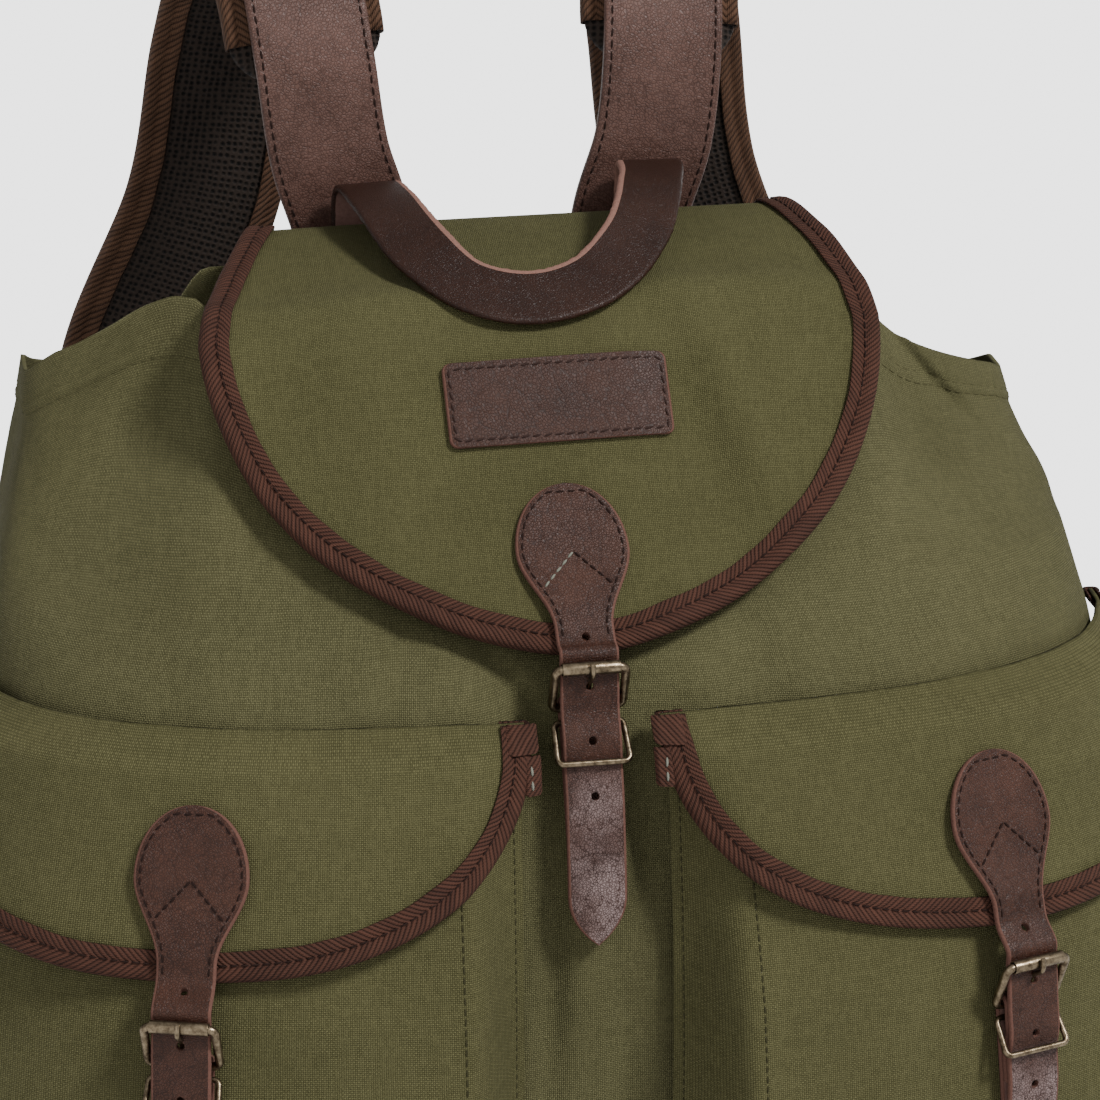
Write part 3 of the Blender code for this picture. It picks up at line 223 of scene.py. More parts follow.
# Shoulder straps, as seen on the right side
STRAP_LEATHER_WIDTH = 0.042
LEATHER_ROUTE = (
    (0.0465, 0.0872, 0.3300),
    (0.0490, 0.0872, 0.3680),
    (0.0575, 0.0866, 0.3980),
    (0.0615, 0.0910, 0.4300),
    (0.0640, 0.1070, 0.4565),
    (0.0655, 0.1330, 0.4660),
)
PAD_WIDTH = 0.054
PAD_THICKNESS = 0.0086
PAD_ROUTE = (
    (0.0620, 0.0987, 0.4230),
    (0.0645, 0.1130, 0.4490),
    (0.0675, 0.1345, 0.4578),
    (0.0735, 0.1600, 0.4470),
    (0.0800, 0.1760, 0.4130),
    (0.0890, 0.1860, 0.3560),
    (0.1130, 0.1970, 0.2920),
    (0.1290, 0.1920, 0.2150),
    (0.1400, 0.1790, 0.1560),
)
WEBBING_WIDTH = 0.025
WEBBING_ROUTE = ((0.1440, 0.1640, 0.1190), (0.1440, 0.1260, 0.0860), (0.1430, 0.0920, 0.0640))
WEBBING_OFF_BACK = 0.0008
WEBBING_FOOT = ((0.1420, 0.052, 0.0030), (0.1420, 0.040, WEBBING_OFF_BACK), (0.1420, 0.022, WEBBING_OFF_BACK))
SLIDER_WIDTH = 0.032
SLIDER_HEIGHT = 0.017
SLIDER_WIRE = 0.0028
LOOP_TAIL = 0.0145
TAB_SIZE = (0.044, 0.034)
TAB_FOOT = 0.012

SIDES = {"left": -1, "right": 1}


# Small helpers


def smoothstep(value):
    value = np.clip(value, 0.0, 1.0)
    return value * value * (3 - 2 * value)


def bump(value, centre, reach):
    return np.exp(-(((value - centre) / reach) ** 2))


def lerp(low, high, share):
    return low + (high - low) * share


def smooth_rows(rows, per_span):
    """Points on a smooth curve through the rows, per_span of them from each row to the next."""
    rows = [np.array(row, float) for row in rows]
    ends = [2 * rows[0] - rows[1]] + rows + [2 * rows[-1] - rows[-2]]
    points = []
    for before, start, end, after in zip(ends, ends[1:], ends[2:], ends[3:]):
        for step in range(per_span):
            t = step / per_span
            bend = 2 * start + (end - before) * t
            bend = bend + (2 * before - 5 * start + 4 * end - after) * t * t
            bend = bend + (3 * start - before - 3 * end + after) * t ** 3
            points.append(bend / 2)
    points.append(rows[-1])
    return np.array(points)


def unit(vectors):
    return vectors / np.maximum(np.linalg.norm(vectors, axis=-1, keepdims=True), 1e-9)


def rough(points, scale, seed=0.0):
    """Smooth noise, about -1 to 1, at each point."""
    return np.array([noise.noise(Vector(point) * scale + Vector((seed, seed * 1.7, seed * 0.3))) for point in points])


# Finishes: shared effects first, then a material for each cloth, leather, thread and metal


def add(tree, kind, inputs=None, **settings):
    """A shader node with its settings, whose inputs are values or other nodes' outputs."""
    made = tree.nodes.new("ShaderNode" + kind)
    for key, value in settings.items():
        setattr(made, key, value)
    feed(tree, made, inputs or {})
    return made


def feed(tree, made, inputs):
    for key, value in inputs.items():
        socket = made.inputs[key]
        if isinstance(value, bpy.types.NodeSocket):
            tree.links.new(value, socket)
        else:
            socket.default_value = value


def calc(tree, operation, *values):
    return add(tree, "Math", dict(enumerate(values)), operation=operation).outputs[0]


def blend(tree, share, low, high):
    """A colour between two, or a colour times another where low and high are outputs."""
    mixed = add(tree, "Mix", {0: share, 6: low, 7: high}, data_type="RGBA", clamp_factor=True)
    return mixed.outputs[2]


def new_group(name, inputs, outputs):
    """An empty shader node group: inputs are (name, kind, default), outputs are (name, kind)."""
    tree = bpy.data.node_groups.new(name, "ShaderNodeTree")
    for label, kind, default in inputs:
        socket = tree.interface.new_socket(label, in_out="INPUT", socket_type="NodeSocket" + kind)
        if default is not None:
            socket.default_value = default
    for label, kind in outputs:
        tree.interface.new_socket(label, in_out="OUTPUT", socket_type="NodeSocket" + kind)
    return tree, tree.nodes.new("NodeGroupInput"), tree.nodes.new("NodeGroupOutput")


def plain_weave():
    """Threads over and under each other: how high the cloth stands and how pale each thread is."""
    inputs = [("Vector", "Vector", None), ("Warp Pitch", "Float", 0.001), ("Weft Pitch", "Float", 0.001),
              ("Waver", "Float", 0.0002)]
    tree, given, result = new_group("plain_weave", inputs, [("Height", "Float"), ("Tone", "Float")])
    bent = add(tree, "TexNoise", {"Vector": given.outputs[0], "Scale": 90.0, "Detail": 1.0})
    shift = add(tree, "VectorMath", {0: bent.outputs["Color"], 1: (0.5, 0.5, 0.5)}, operation="SUBTRACT")
    shift = add(tree, "VectorMath", {0: shift.outputs[0], "Scale": given.outputs[3]}, operation="SCALE")
    place = add(tree, "VectorMath", {0: given.outputs[0], 1: shift.outputs[0]}, operation="ADD")
    split = add(tree, "SeparateXYZ", {0: place.outputs[0]})
    warp = calc(tree, "DIVIDE", split.outputs[0], given.outputs[1])
    weft = calc(tree, "DIVIDE", split.outputs[1], given.outputs[2])
    ridges = []
    for count in (warp, weft):
        turn = calc(tree, "MULTIPLY", calc(tree, "FRACT", count), math.pi)
        ridges.append(calc(tree, "SINE", turn))
    warp_number = calc(tree, "FLOOR", warp)
    weft_number = calc(tree, "FLOOR", weft)
    pair = calc(tree, "MULTIPLY", calc(tree, "ADD", warp_number, weft_number), 0.5)
    over = calc(tree, "GREATER_THAN", calc(tree, "FRACT", pair), 0.25)
    warp_height = calc(tree, "MULTIPLY", ridges[0], calc(tree, "MULTIPLY_ADD", ridges[1], 0.25, 0.30))
    weft_height = calc(tree, "MULTIPLY", ridges[1], calc(tree, "MULTIPLY_ADD", ridges[0], 0.65, 0.35))
    height = add(tree, "Mix", {0: over, 2: warp_height, 3: weft_height}, data_type="FLOAT").outputs[0]
    tones = []
    for number, run in ((warp_number, weft_number), (weft_number, warp_number)):
        stretch = calc(tree, "FLOOR", calc(tree, "DIVIDE", run, 5.0))
        key = add(tree, "CombineXYZ", {0: number, 1: stretch, 2: 3.0})
        tones.append(add(tree, "TexWhiteNoise", {"Vector": key.outputs[0]}).outputs["Value"])
    tone = add(tree, "Mix", {0: over, 2: tones[0], 3: tones[1]}, data_type="FLOAT").outputs[0]
    tree.links.new(height, result.inputs[0])
    tree.links.new(tone, result.inputs[1])
    return tree


def slanted_ribs():
    """A twill tape's ribs, slanting one way up to its middle line and the other way past it."""
    inputs = [("Vector", "Vector", None), ("Pitch", "Float", 0.0019), ("Slant", "Float", 0.9),
              ("Middle", "Float", 0.004)]
    tree, given, result = new_group("slanted_ribs", inputs, [("Height", "Float"), ("Thread", "Float")])
    split = add(tree, "SeparateXYZ", {0: given.outputs[0]})
    from_middle = calc(tree, "ABSOLUTE", calc(tree, "SUBTRACT", split.outputs[1], given.outputs[3]))
    waver = add(tree, "TexNoise", {"Vector": given.outputs[0], "Scale": 160.0, "Detail": 1.0}).outputs[0]
    slid = calc(tree, "MULTIPLY_ADD", from_middle, given.outputs[2], split.outputs[0])
    slid = calc(tree, "MULTIPLY_ADD", waver, 0.0006, slid)
    count = calc(tree, "DIVIDE", slid, given.outputs[1])
    ridge = calc(tree, "SINE", calc(tree, "MULTIPLY", calc(tree, "FRACT", count), math.pi))
    fine = calc(tree, "SINE", calc(tree, "MULTIPLY", from_middle, 2 * math.pi / 0.0007))
    height = calc(tree, "MULTIPLY_ADD", fine, 0.12, calc(tree, "POWER", ridge, 0.7))
    key = add(tree, "CombineXYZ", {0: calc(tree, "FLOOR", count), 1: 1.0, 2: 0.0})
    tree.links.new(height, result.inputs[0])
    tree.links.new(add(tree, "TexWhiteNoise", {"Vector": key.outputs[0]}).outputs["Value"], result.inputs[1])
    return tree


def pebble_grain():
    """Leather: small rounded cells with fine creases between them, and slow changes of tone."""
    inputs = [("Vector", "Vector", None), ("Cells", "Float", 950.0), ("Creases", "Float", 0.5)]
    tree, given, result = new_group("pebble_grain", inputs, [("Height", "Float"), ("Tone", "Float")])
    bent = add(tree, "TexNoise", {"Vector": given.outputs[0], "Scale": 300.0, "Detail": 2.0})
    shift = add(tree, "VectorMath", {0: bent.outputs["Color"], "Scale": 0.0016}, operation="SCALE")
    place = add(tree, "VectorMath", {0: given.outputs[0], 1: shift.outputs[0]}, operation="ADD")
    cells = add(tree, "TexVoronoi", {"Vector": place.outputs[0], "Scale": given.outputs[1]},
                feature="DISTANCE_TO_EDGE")
    pebble = add(tree, "MapRange", {"Value": cells.outputs[0], "From Max": 0.22}, interpolation_type="SMOOTHSTEP")
    long_cells = add(tree, "Mapping", {"Vector": place.outputs[0], "Scale": (1.0, 0.55, 0.8)})
    creases = add(tree, "TexVoronoi", {"Vector": long_cells.outputs[0], "Scale": 150.0},
                  feature="DISTANCE_TO_EDGE")
    crease = add(tree, "MapRange", {"Value": creases.outputs[0], "From Max": 0.10}, interpolation_type="SMOOTHSTEP")
    fold = calc(tree, "MULTIPLY", calc(tree, "SUBTRACT", 1.0, crease.outputs[0]), given.outputs[2])
    height = calc(tree, "SUBTRACT", pebble.outputs[0], fold)
    slow = add(tree, "TexNoise", {"Vector": given.outputs[0], "Scale": 55.0, "Detail": 4.0, "Roughness": 0.6})
    tree.links.new(height, result.inputs[0])
    tree.links.new(slow.outputs[0], result.inputs[1])
    return tree


def slow_mottle():
    """Broad changes of tone from handling, and a little lint."""
    inputs = [("Vector", "Vector", None), ("Scale", "Float", 14.0)]
    tree, given, result = new_group("slow_mottle", inputs, [("Tone", "Float"), ("Lint", "Float")])
    slow = add(tree, "TexNoise", {"Vector": given.outputs[0], "Scale": given.outputs[1], "Detail": 5.0})
    fine = add(tree, "TexNoise", {"Vector": given.outputs[0], "Scale": 1400.0, "Detail": 2.0})
    lint = add(tree, "MapRange", {"Value": fine.outputs[0], "From Min": 0.66, "From Max": 0.8})
    tree.links.new(slow.outputs[0], result.inputs[0])
    tree.links.new(lint.outputs[0], result.inputs[1])
    return tree


GROUPS = {"weave": plain_weave(), "ribs": slanted_ribs(), "grain": pebble_grain(), "mottle": slow_mottle()}


def effect(tree, name, inputs):
    made = tree.nodes.new("ShaderNodeGroup")
    made.node_tree = GROUPS[name]
    feed(tree, made, inputs)
    return made.outputs


def new_material(name, roughness, metallic=0.0, specular=0.5):
    made = bpy.data.materials.new(name)
    made.use_nodes = True
    shader = made.node_tree.nodes["Principled BSDF"]
    shader.inputs["Roughness"].default_value = roughness
    shader.inputs["Metallic"].default_value = metallic
    shader.inputs["Specular IOR Level"].default_value = specular
    return made, made.node_tree, shader


def raise_surface(tree, shader, height, depth):
    lifted = add(tree, "Bump", {"Height": height, "Distance": depth, "Strength": 1.0})
    tree.links.new(lifted.outputs[0], shader.inputs["Normal"])


def woven(name, dark, pale, warp, weft, depth):
    """A plain woven cloth on the piece's own flat measure."""
    made, tree, shader = new_material(name, 0.92, specular=0.15)
    flat = add(tree, "UVMap", uv_map="flat").outputs[0]
    place = add(tree, "TexCoord").outputs["Object"]
    cloth = effect(tree, "weave", {"Vector": flat, "Warp Pitch": warp, "Weft Pitch": weft, "Waver": 0.0003})
    broad = effect(tree, "mottle", {"Vector": place, "Scale": 16.0})
    tone = calc(tree, "MULTIPLY_ADD", cloth["Height"], 0.75, calc(tree, "MULTIPLY", cloth["Tone"], 0.22))
    tone = calc(tree, "MULTIPLY_ADD", broad["Tone"], 0.35, calc(tree, "SUBTRACT", tone, 0.24))
    colour = blend(tree, tone, (*dark, 1), (*pale, 1))
    colour = blend(tree, calc(tree, "MULTIPLY", broad["Lint"], 0.25), colour, (*[c * 1.9 for c in pale], 1))
    tree.links.new(colour, shader.inputs["Base Color"])
    raise_surface(tree, shader, cloth["Height"], depth)
    return made


def tape(name, dark, pale, pitch, middle, depth):
    """Ribbed twill tape on its own length and width."""
    made, tree, shader = new_material(name, 0.85, specular=0.2)
    flat = add(tree, "UVMap", uv_map="flat").outputs[0]
    ribs = effect(tree, "ribs", {"Vector": flat, "Pitch": pitch, "Slant": 0.95, "Middle": middle})
    broad = effect(tree, "mottle", {"Vector": add(tree, "TexCoord").outputs["Object"], "Scale": 40.0})
    tone = calc(tree, "MULTIPLY_ADD", ribs["Height"], 0.6, calc(tree, "MULTIPLY", ribs["Thread"], 0.25))
    tone = calc(tree, "MULTIPLY_ADD", broad["Tone"], 0.4, calc(tree, "SUBTRACT", tone, 0.2))
    tree.links.new(blend(tree, tone, (*dark, 1), (*pale, 1)), shader.inputs["Base Color"])
    raise_surface(tree, shader, ribs["Height"], depth)
    return made


def hide(name, dark, pale, roughness, cells, depth, creases=0.3, painted_sheen=None):
    """Leather: pebbled, slowly varying, shinier in slow patches of wear, and with a painted pale sheen on its grain's
    crests past a place along it.
    """
    made, tree, shader = new_material(name, roughness, specular=0.2)
    place = add(tree, "TexCoord").outputs["Object"]
    grain = effect(tree, "grain", {"Vector": place, "Cells": cells, "Creases": creases})
    broad = effect(tree, "mottle", {"Vector": place, "Scale": 60.0})
    tone = calc(tree, "MULTIPLY_ADD", grain["Height"], 0.45, calc(tree, "MULTIPLY", grain["Tone"], 0.8))
    tone = calc(tree, "MULTIPLY_ADD", broad["Tone"], 0.5, calc(tree, "SUBTRACT", tone, 0.48))
    colour = blend(tree, tone, (*dark, 1), (*pale, 1))
    # Painted sheen: a pale colour on the grain's crests past a place along the strap, in patches, standing in for a
    # highlight.
    if painted_sheen:
        start, end, sheen_colour = painted_sheen
        along = add(tree, "SeparateXYZ", {0: add(tree, "UVMap", uv_map="flat").outputs[0]}).outputs[1]
        past = add(tree, "MapRange", {"Value": along, "From Min": start, "From Max": end}).outputs[0]
        patches = add(tree, "MapRange", {"Value": broad["Tone"], "From Min": 0.36, "From Max": 0.60}).outputs[0]
        sheen_on_crests = calc(tree, "MULTIPLY", calc(tree, "MULTIPLY_ADD", grain["Height"], 0.55, 0.15), past)
        sheen_on_crests = calc(tree, "MULTIPLY", sheen_on_crests, calc(tree, "MULTIPLY_ADD", patches, 0.75, 0.25))
        colour = blend(tree, sheen_on_crests, colour, (*sheen_colour, 1))
    tree.links.new(colour, shader.inputs["Base Color"])
    gloss = calc(tree, "MULTIPLY_ADD", grain["Tone"], 0.20, roughness - 0.10)
    tree.links.new(gloss, shader.inputs["Roughness"])
    raise_surface(tree, shader, grain["Height"], depth)
    return made


def fibrous(name, dark, pale, scale, depth):
    """A cut edge or a flesh side: matt and furry."""
    made, tree, shader = new_material(name, 0.95, specular=0.15)
    place = add(tree, "TexCoord").outputs["Object"]
    fine = add(tree, "TexNoise", {"Vector": place, "Scale": scale, "Detail": 6.0, "Roughness": 0.75}).outputs[0]
    tree.links.new(blend(tree, fine, (*dark, 1), (*pale, 1)), shader.inputs["Base Color"])
    raise_surface(tree, shader, fine, depth)
    return made


def worn_metal(name, dark, pale, roughness):
    """Antique plated wire, stained darker and paler in small patches, and smoother where it is paler."""
    made, tree, shader = new_material(name, roughness, metallic=1.0)
    place = add(tree, "TexCoord").outputs["Object"]
    stain = add(tree, "TexNoise", {"Vector": place, "Scale": 420.0, "Detail": 5.0, "Roughness": 0.7}).outputs[0]
    tone = add(tree, "MapRange", {"Value": stain, "From Min": 0.36, "From Max": 0.62}).outputs[0]
    tree.links.new(blend(tree, tone, (*dark, 1), (*pale, 1)), shader.inputs["Base Color"])
    tree.links.new(calc(tree, "MULTIPLY_ADD", stain, -0.3, roughness + 0.15), shader.inputs["Roughness"])
    raise_surface(tree, shader, stain, 0.00006)
    return made


def open_mesh(name, dark, pale):
    """Spacer mesh: small round holes in a soft black knit."""
    made, tree, shader = new_material(name, 0.9, specular=0.2)
    flat = add(tree, "UVMap", uv_map="flat").outputs[0]
    holes = add(tree, "TexVoronoi", {"Vector": flat, "Scale": 430.0, "Randomness": 0.25}, feature="F1")
    rim = add(tree, "MapRange", {"Value": holes.outputs["Distance"], "From Min": 0.16, "From Max": 0.46}).outputs[0]
    tree.links.new(blend(tree, rim, (*dark, 1), (*pale, 1)), shader.inputs["Base Color"])
    raise_surface(tree, shader, rim, 0.0007)
    return made


OLIVE_DARK, OLIVE_PALE = (0.036, 0.034, 0.012), (0.132, 0.124, 0.056)
FINISHES = {
    "canvas": woven("olive_canvas", OLIVE_DARK, OLIVE_PALE, 0.00066, 0.00066, 0.00032),
    # The body's canvas is a paler copy of the same canvas: painted light, making the body brighter than its lighting
    # does.
    "body_canvas": woven("olive_canvas_body_painted_lighter", (0.040, 0.038, 0.015), (0.152, 0.143, 0.069), 0.00066, 0.00066,
                         0.00032),
    "lid_canvas": woven("olive_canvas_lid", (0.034, 0.032, 0.011), (0.125, 0.118, 0.052), 0.00064, 0.00066,
                        0.00030),
    "tape": tape("brown_twill_tape", (0.013, 0.0048, 0.0030), (0.073, 0.029, 0.018), 0.0019, 0.0052, 0.00055),
    "fold_tape": tape("brown_twill_tape_fold", (0.013, 0.0048, 0.0030), (0.070, 0.028, 0.0175), 0.0019, 0.5, 0.0005),
    "edge_tape": tape("brown_edge_tape", (0.016, 0.007, 0.0035), (0.100, 0.050, 0.028), 0.0026, 0.0052, 0.0006),
    # The strap leather gets a painted pale sheen on its tail, from 0.098 to 0.116 along it.
    "leather": hide("brown_strap_leather", (0.018, 0.0066, 0.0040), (0.068, 0.028, 0.0175), 0.46, 1150.0, 0.00010,
                    painted_sheen=(0.098, 0.116, (0.245, 0.186, 0.180))),
    # The handle's leather is darker than the other leather: painted shade, for the handle's band that faces down. Its
    # grain is also smoother.
    "smooth_leather": hide("brown_handle_leather_painted_shade", (0.011, 0.0036, 0.0019), (0.032, 0.0115, 0.0062), 0.40,
                           1300.0, 0.00008, 0.2),
    # The shoulder straps' leather is paler than the other leather: painted sheen, standing in for light reflected off
    # the straps.
    "shoulder_leather": hide("brown_shoulder_leather_painted_sheen", (0.040, 0.019, 0.014), (0.120, 0.064, 0.051), 0.42,
                             900.0, 0.00010),
    "raw_edge": fibrous("cut_leather_edge", (0.036, 0.014, 0.0095), (0.170, 0.084, 0.065), 1500.0, 0.0002),
    "frayed_edge": fibrous("frayed_leather_edge", (0.075, 0.032, 0.024), (0.30, 0.165, 0.130), 1500.0, 0.0002),
    "flesh_side": fibrous("leather_flesh_side", (0.075, 0.036, 0.028), (0.24, 0.14, 0.12), 900.0, 0.0002),
    "webbing": woven("brown_webbing", (0.018, 0.009, 0.006), (0.085, 0.045, 0.030), 0.0011, 0.0022, 0.0004),
    "patch": hide("brown_patch_leather", (0.018, 0.0068, 0.0042), (0.054, 0.022, 0.0135), 0.5, 950.0, 0.00008),
    "spacer": open_mesh("black_spacer_mesh", (0.0010, 0.0008, 0.0006), (0.023, 0.0160, 0.0125)),
    "brass": worn_metal("antique_brass_wire", (0.070, 0.050, 0.030), (0.26, 0.205, 0.135), 0.36),
    "dark_thread": fibrous("dark_brown_thread", (0.006, 0.003, 0.0025), (0.026, 0.013, 0.010), 2500.0, 0.0001),
    "patch_thread": fibrous("brown_thread", (0.006, 0.003, 0.0025), (0.050, 0.028, 0.023), 2500.0, 0.0001),
    "green_thread": fibrous("green_thread", (0.07, 0.070, 0.055), (0.24, 0.245, 0.20), 2500.0, 0.0001),
    "olive_thread": fibrous("olive_thread", (0.030, 0.028, 0.011), (0.095, 0.089, 0.042), 2500.0, 0.0001),
    "pocket_thread": fibrous("dark_olive_thread", (0.014, 0.013, 0.0055), (0.048, 0.045, 0.020), 2500.0, 0.0001),
}


# Meshes


def declare(made, slot, replaces):
    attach(made, "root")
    if replaces:
        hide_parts(*replaces)


def piece(name, mesh, slot, replaces=()):
    """A finished piece of the rucksack, riding on its one body."""
    made = bpy.data.objects.new(name, mesh)
    bpy.context.scene.collection.objects.link(made)
    mesh.shade_smooth()
    declare(made, slot, replaces)
    return made


def apply_modifiers(made):
    bpy.ops.object.select_all(action="DESELECT")
    bpy.context.view_layer.objects.active = made
    made.select_set(True)
    for modifier in list(made.modifiers):
        bpy.ops.object.modifier_apply(modifier=modifier.name)
    made.select_set(False)


def cut_with(made, cutter, name):
    """Cuts the selected shape out of a piece, leaving cut edges, and takes the cutter away."""
    cutter.data.materials.append(FINISHES["raw_edge"])
    cut = made.modifiers.new(name, "BOOLEAN")
    cut.object = cutter
    cut.operation = "DIFFERENCE"
    cut.solver = "EXACT"
    cut.material_mode = "TRANSFER"
    apply_modifiers(made)
    bpy.data.objects.remove(cutter, do_unlink=True)


def set_materials(made, *names):
    for name in names:
        made.data.materials.append(FINISHES[name])


def grid(points, flat, closed, kinds=None, end_kind=1, outward=True):
    """A mesh over rows and columns of points. Flat holds each one's place on the uncut cloth or leather.

    The last column is the first one again. Closed lists the rows, 0 or -1, that are filled.
    Kinds gives each column's material."""
    rows, columns = points.shape[:2]
    used = columns - 1
    corners = points[:, :used].reshape(-1, 3) - INTO_FRAME
    row, column = np.meshgrid(np.arange(rows - 1), np.arange(columns - 1), indexing="ij")
    order = [(0, 0), (0, 1), (1, 1), (1, 0)]
    faces = np.stack([(row + down) * used + (column + over) % used for down, over in order], -1).reshape(-1, 4)
    loops = np.stack([flat[row + down, column + over] for down, over in order], -2).reshape(-1, 2)
    faces = faces.tolist()
    loops = loops.tolist()
    materials = np.zeros((rows - 1, columns - 1), int) if kinds is None else np.tile(kinds, (rows - 1, 1))
    materials = materials.reshape(-1).tolist()
    for line in closed:
        row_start = (line % rows) * used
        ends = [row_start + i for i in range(used)]
        places = [tuple(flat[line, i]) for i in range(used)]
        faces.append(ends[::-1] if line == 0 else ends)
        loops += places[::-1] if line == 0 else places
        materials.append(end_kind)
    mesh = bpy.data.meshes.new("panel")
    mesh.from_pydata(corners.tolist(), [], faces)
    layer = mesh.uv_layers.new(name="flat")
    layer.data.foreach_set("uv", np.array(loops, np.float32).ravel())
    mesh.polygons.foreach_set("material_index", materials)
    mesh.update()
    if outward:
        turn_outward(mesh)
    return mesh


def turn_outward(mesh):
    shape = bmesh.new()
    shape.from_mesh(mesh)
    bmesh.ops.recalc_face_normals(shape, faces=shape.faces)
    shape.to_mesh(mesh)
    shape.free()


def strip_section(half_width, thickness, across_steps, roundness):
    """A strip's closed cross section: places across and off, and which are top, edge and underside."""
    radius = min(thickness * roundness, half_width * 0.9)
    flat_half = half_width - radius
    across, off, kinds = [], [], []
    for share in np.linspace(-1, 1, across_steps):
        across.append(flat_half * share)
        off.append(thickness / 2)
        kinds.append(0)
    for turn in (60, 30, 0, -30, -60):
        angle = math.radians(turn)
        across.append(flat_half + radius * math.cos(angle))
        off.append(math.copysign(thickness / 2 - radius, turn or 1) * (turn != 0) + radius * math.sin(angle))
        kinds.append(1)
    for share in np.linspace(1, -1, across_steps):
        across.append(flat_half * share)
        off.append(-thickness / 2)
        kinds.append(2)
    for turn in (-120, -150, 180, 150, 120):
        angle = math.radians(turn)
        across.append(-flat_half + radius * math.cos(angle))
        off.append(math.copysign(thickness / 2 - radius, turn if turn != 180 else 1) * (turn != 180)
                   + radius * math.sin(angle))
        kinds.append(1)
    kinds[across_steps - 1] = 1
    kinds[2 * across_steps + 4] = 1
    across.append(across[0])
    off.append(off[0])
    return np.array(across), np.array(off), kinds


def strip(place, alongs, half_width, thickness, across_steps, roundness=0.42):
    """A strip of leather or webbing laid along place, as wide as half_width says at each place along it."""
    points, flat = [], []
    for along in alongs:
        across, off, kinds = strip_section(half_width(along), thickness, across_steps, roundness)
        points.append(place(across, np.full_like(across, along), off))
        flat.append(np.stack([across, np.full_like(across, along)], -1))
    return grid(np.array(points), np.array(flat), closed=(0, -1), kinds=kinds)


def box_width(width, start, end, corner):
    """The half width along a strip whose four corners are rounded."""

    def half_width(along):
        into = min(along - start, end - along)
        if into >= corner:
            return width / 2
        return width / 2 - corner + math.sqrt(max(corner ** 2 - (corner - into) ** 2, 0.0))

    return half_width


def box_alongs(start, end, corner, step):
    """Places along a strip, close together at its rounded ends."""
    turns = np.sin(np.linspace(0, math.pi / 2, 7)[:-1])
    near = start + corner * (1 - np.cos(np.linspace(0, math.pi / 2, 7)[:-1]))
    middle = np.linspace(start + corner, end - corner, max(int((end - start - 2 * corner) / step), 2))
    far = end - corner + corner * turns
    return np.unique(np.concatenate([near, middle, far, [end]]).round(7))


def wire(name, points, thickness, slot, replaces, cyclic=True):
    """A bent wire: a path curve through the points, given its thickness and made a mesh."""
    bpy.ops.object.select_all(action="DESELECT")
    bpy.ops.curve.primitive_nurbs_path_add(location=(0, 0, 0))
    drawn = bpy.context.object
    curve = drawn.data
    curve.splines.clear()
    spline = curve.splines.new("POLY")
    spline.points.add(len(points) - 1)
    for target, point in zip(spline.points, points):
        target.co = (point[0], point[1] - DEPTH_CENTRE, point[2], 1)
    spline.use_cyclic_u = cyclic
    curve.dimensions = "3D"
    curve.bevel_depth = thickness / 2
    curve.bevel_resolution = WIRE_BEVEL_STEPS
    curve.use_fill_caps = not cyclic
    bpy.ops.object.convert(target="MESH")
    made = bpy.context.object
    made.name = name
    made.data.name = name
    made.data.shade_smooth()
    made.select_set(False)
    declare(made, slot, replaces)
    set_materials(made, "brass")


STITCH_RINGS = ((-0.5, 0.35), (-0.30, 0.95), (0.0, 1.1), (0.30, 0.95), (0.5, 0.35))
STITCH_SIDES = 6
# Each kind's pitch, length and thickness, its finish and slot, and how far each stitch turns from its line
STITCH_KINDS = {
    "tape": (0.0036, 0.0026, 0.0006, "dark_thread", "twill_tape", 0.0),
    "tape_end": (0.0038, 0.0032, 0.0009, "green_thread", "twill_tape", 0.0),
    "patch": (0.0038, 0.0031, 0.0007, "patch_thread", "leather", 0.22),
    "teardrop": (0.0037, 0.0028, 0.00065, "dark_thread", "leather", 0.0),
    "chevron": (0.0034, 0.0027, 0.0008, "dark_thread", "leather", 0.0),
    "pale_chevron": (0.0034, 0.0027, 0.0008, "green_thread", "leather", 0.0),
    "shoulder": (0.0040, 0.0031, 0.0007, "dark_thread", "leather", 0.0),
    "tab": (0.0038, 0.0030, 0.0007, "dark_thread", "leather", 0.0),
    "pocket": (0.0034, 0.0026, 0.00058, "pocket_thread", "canvas", 0.0),
    "hem": (0.0036, 0.0028, 0.0005, "olive_thread", "canvas", 0.0),
}


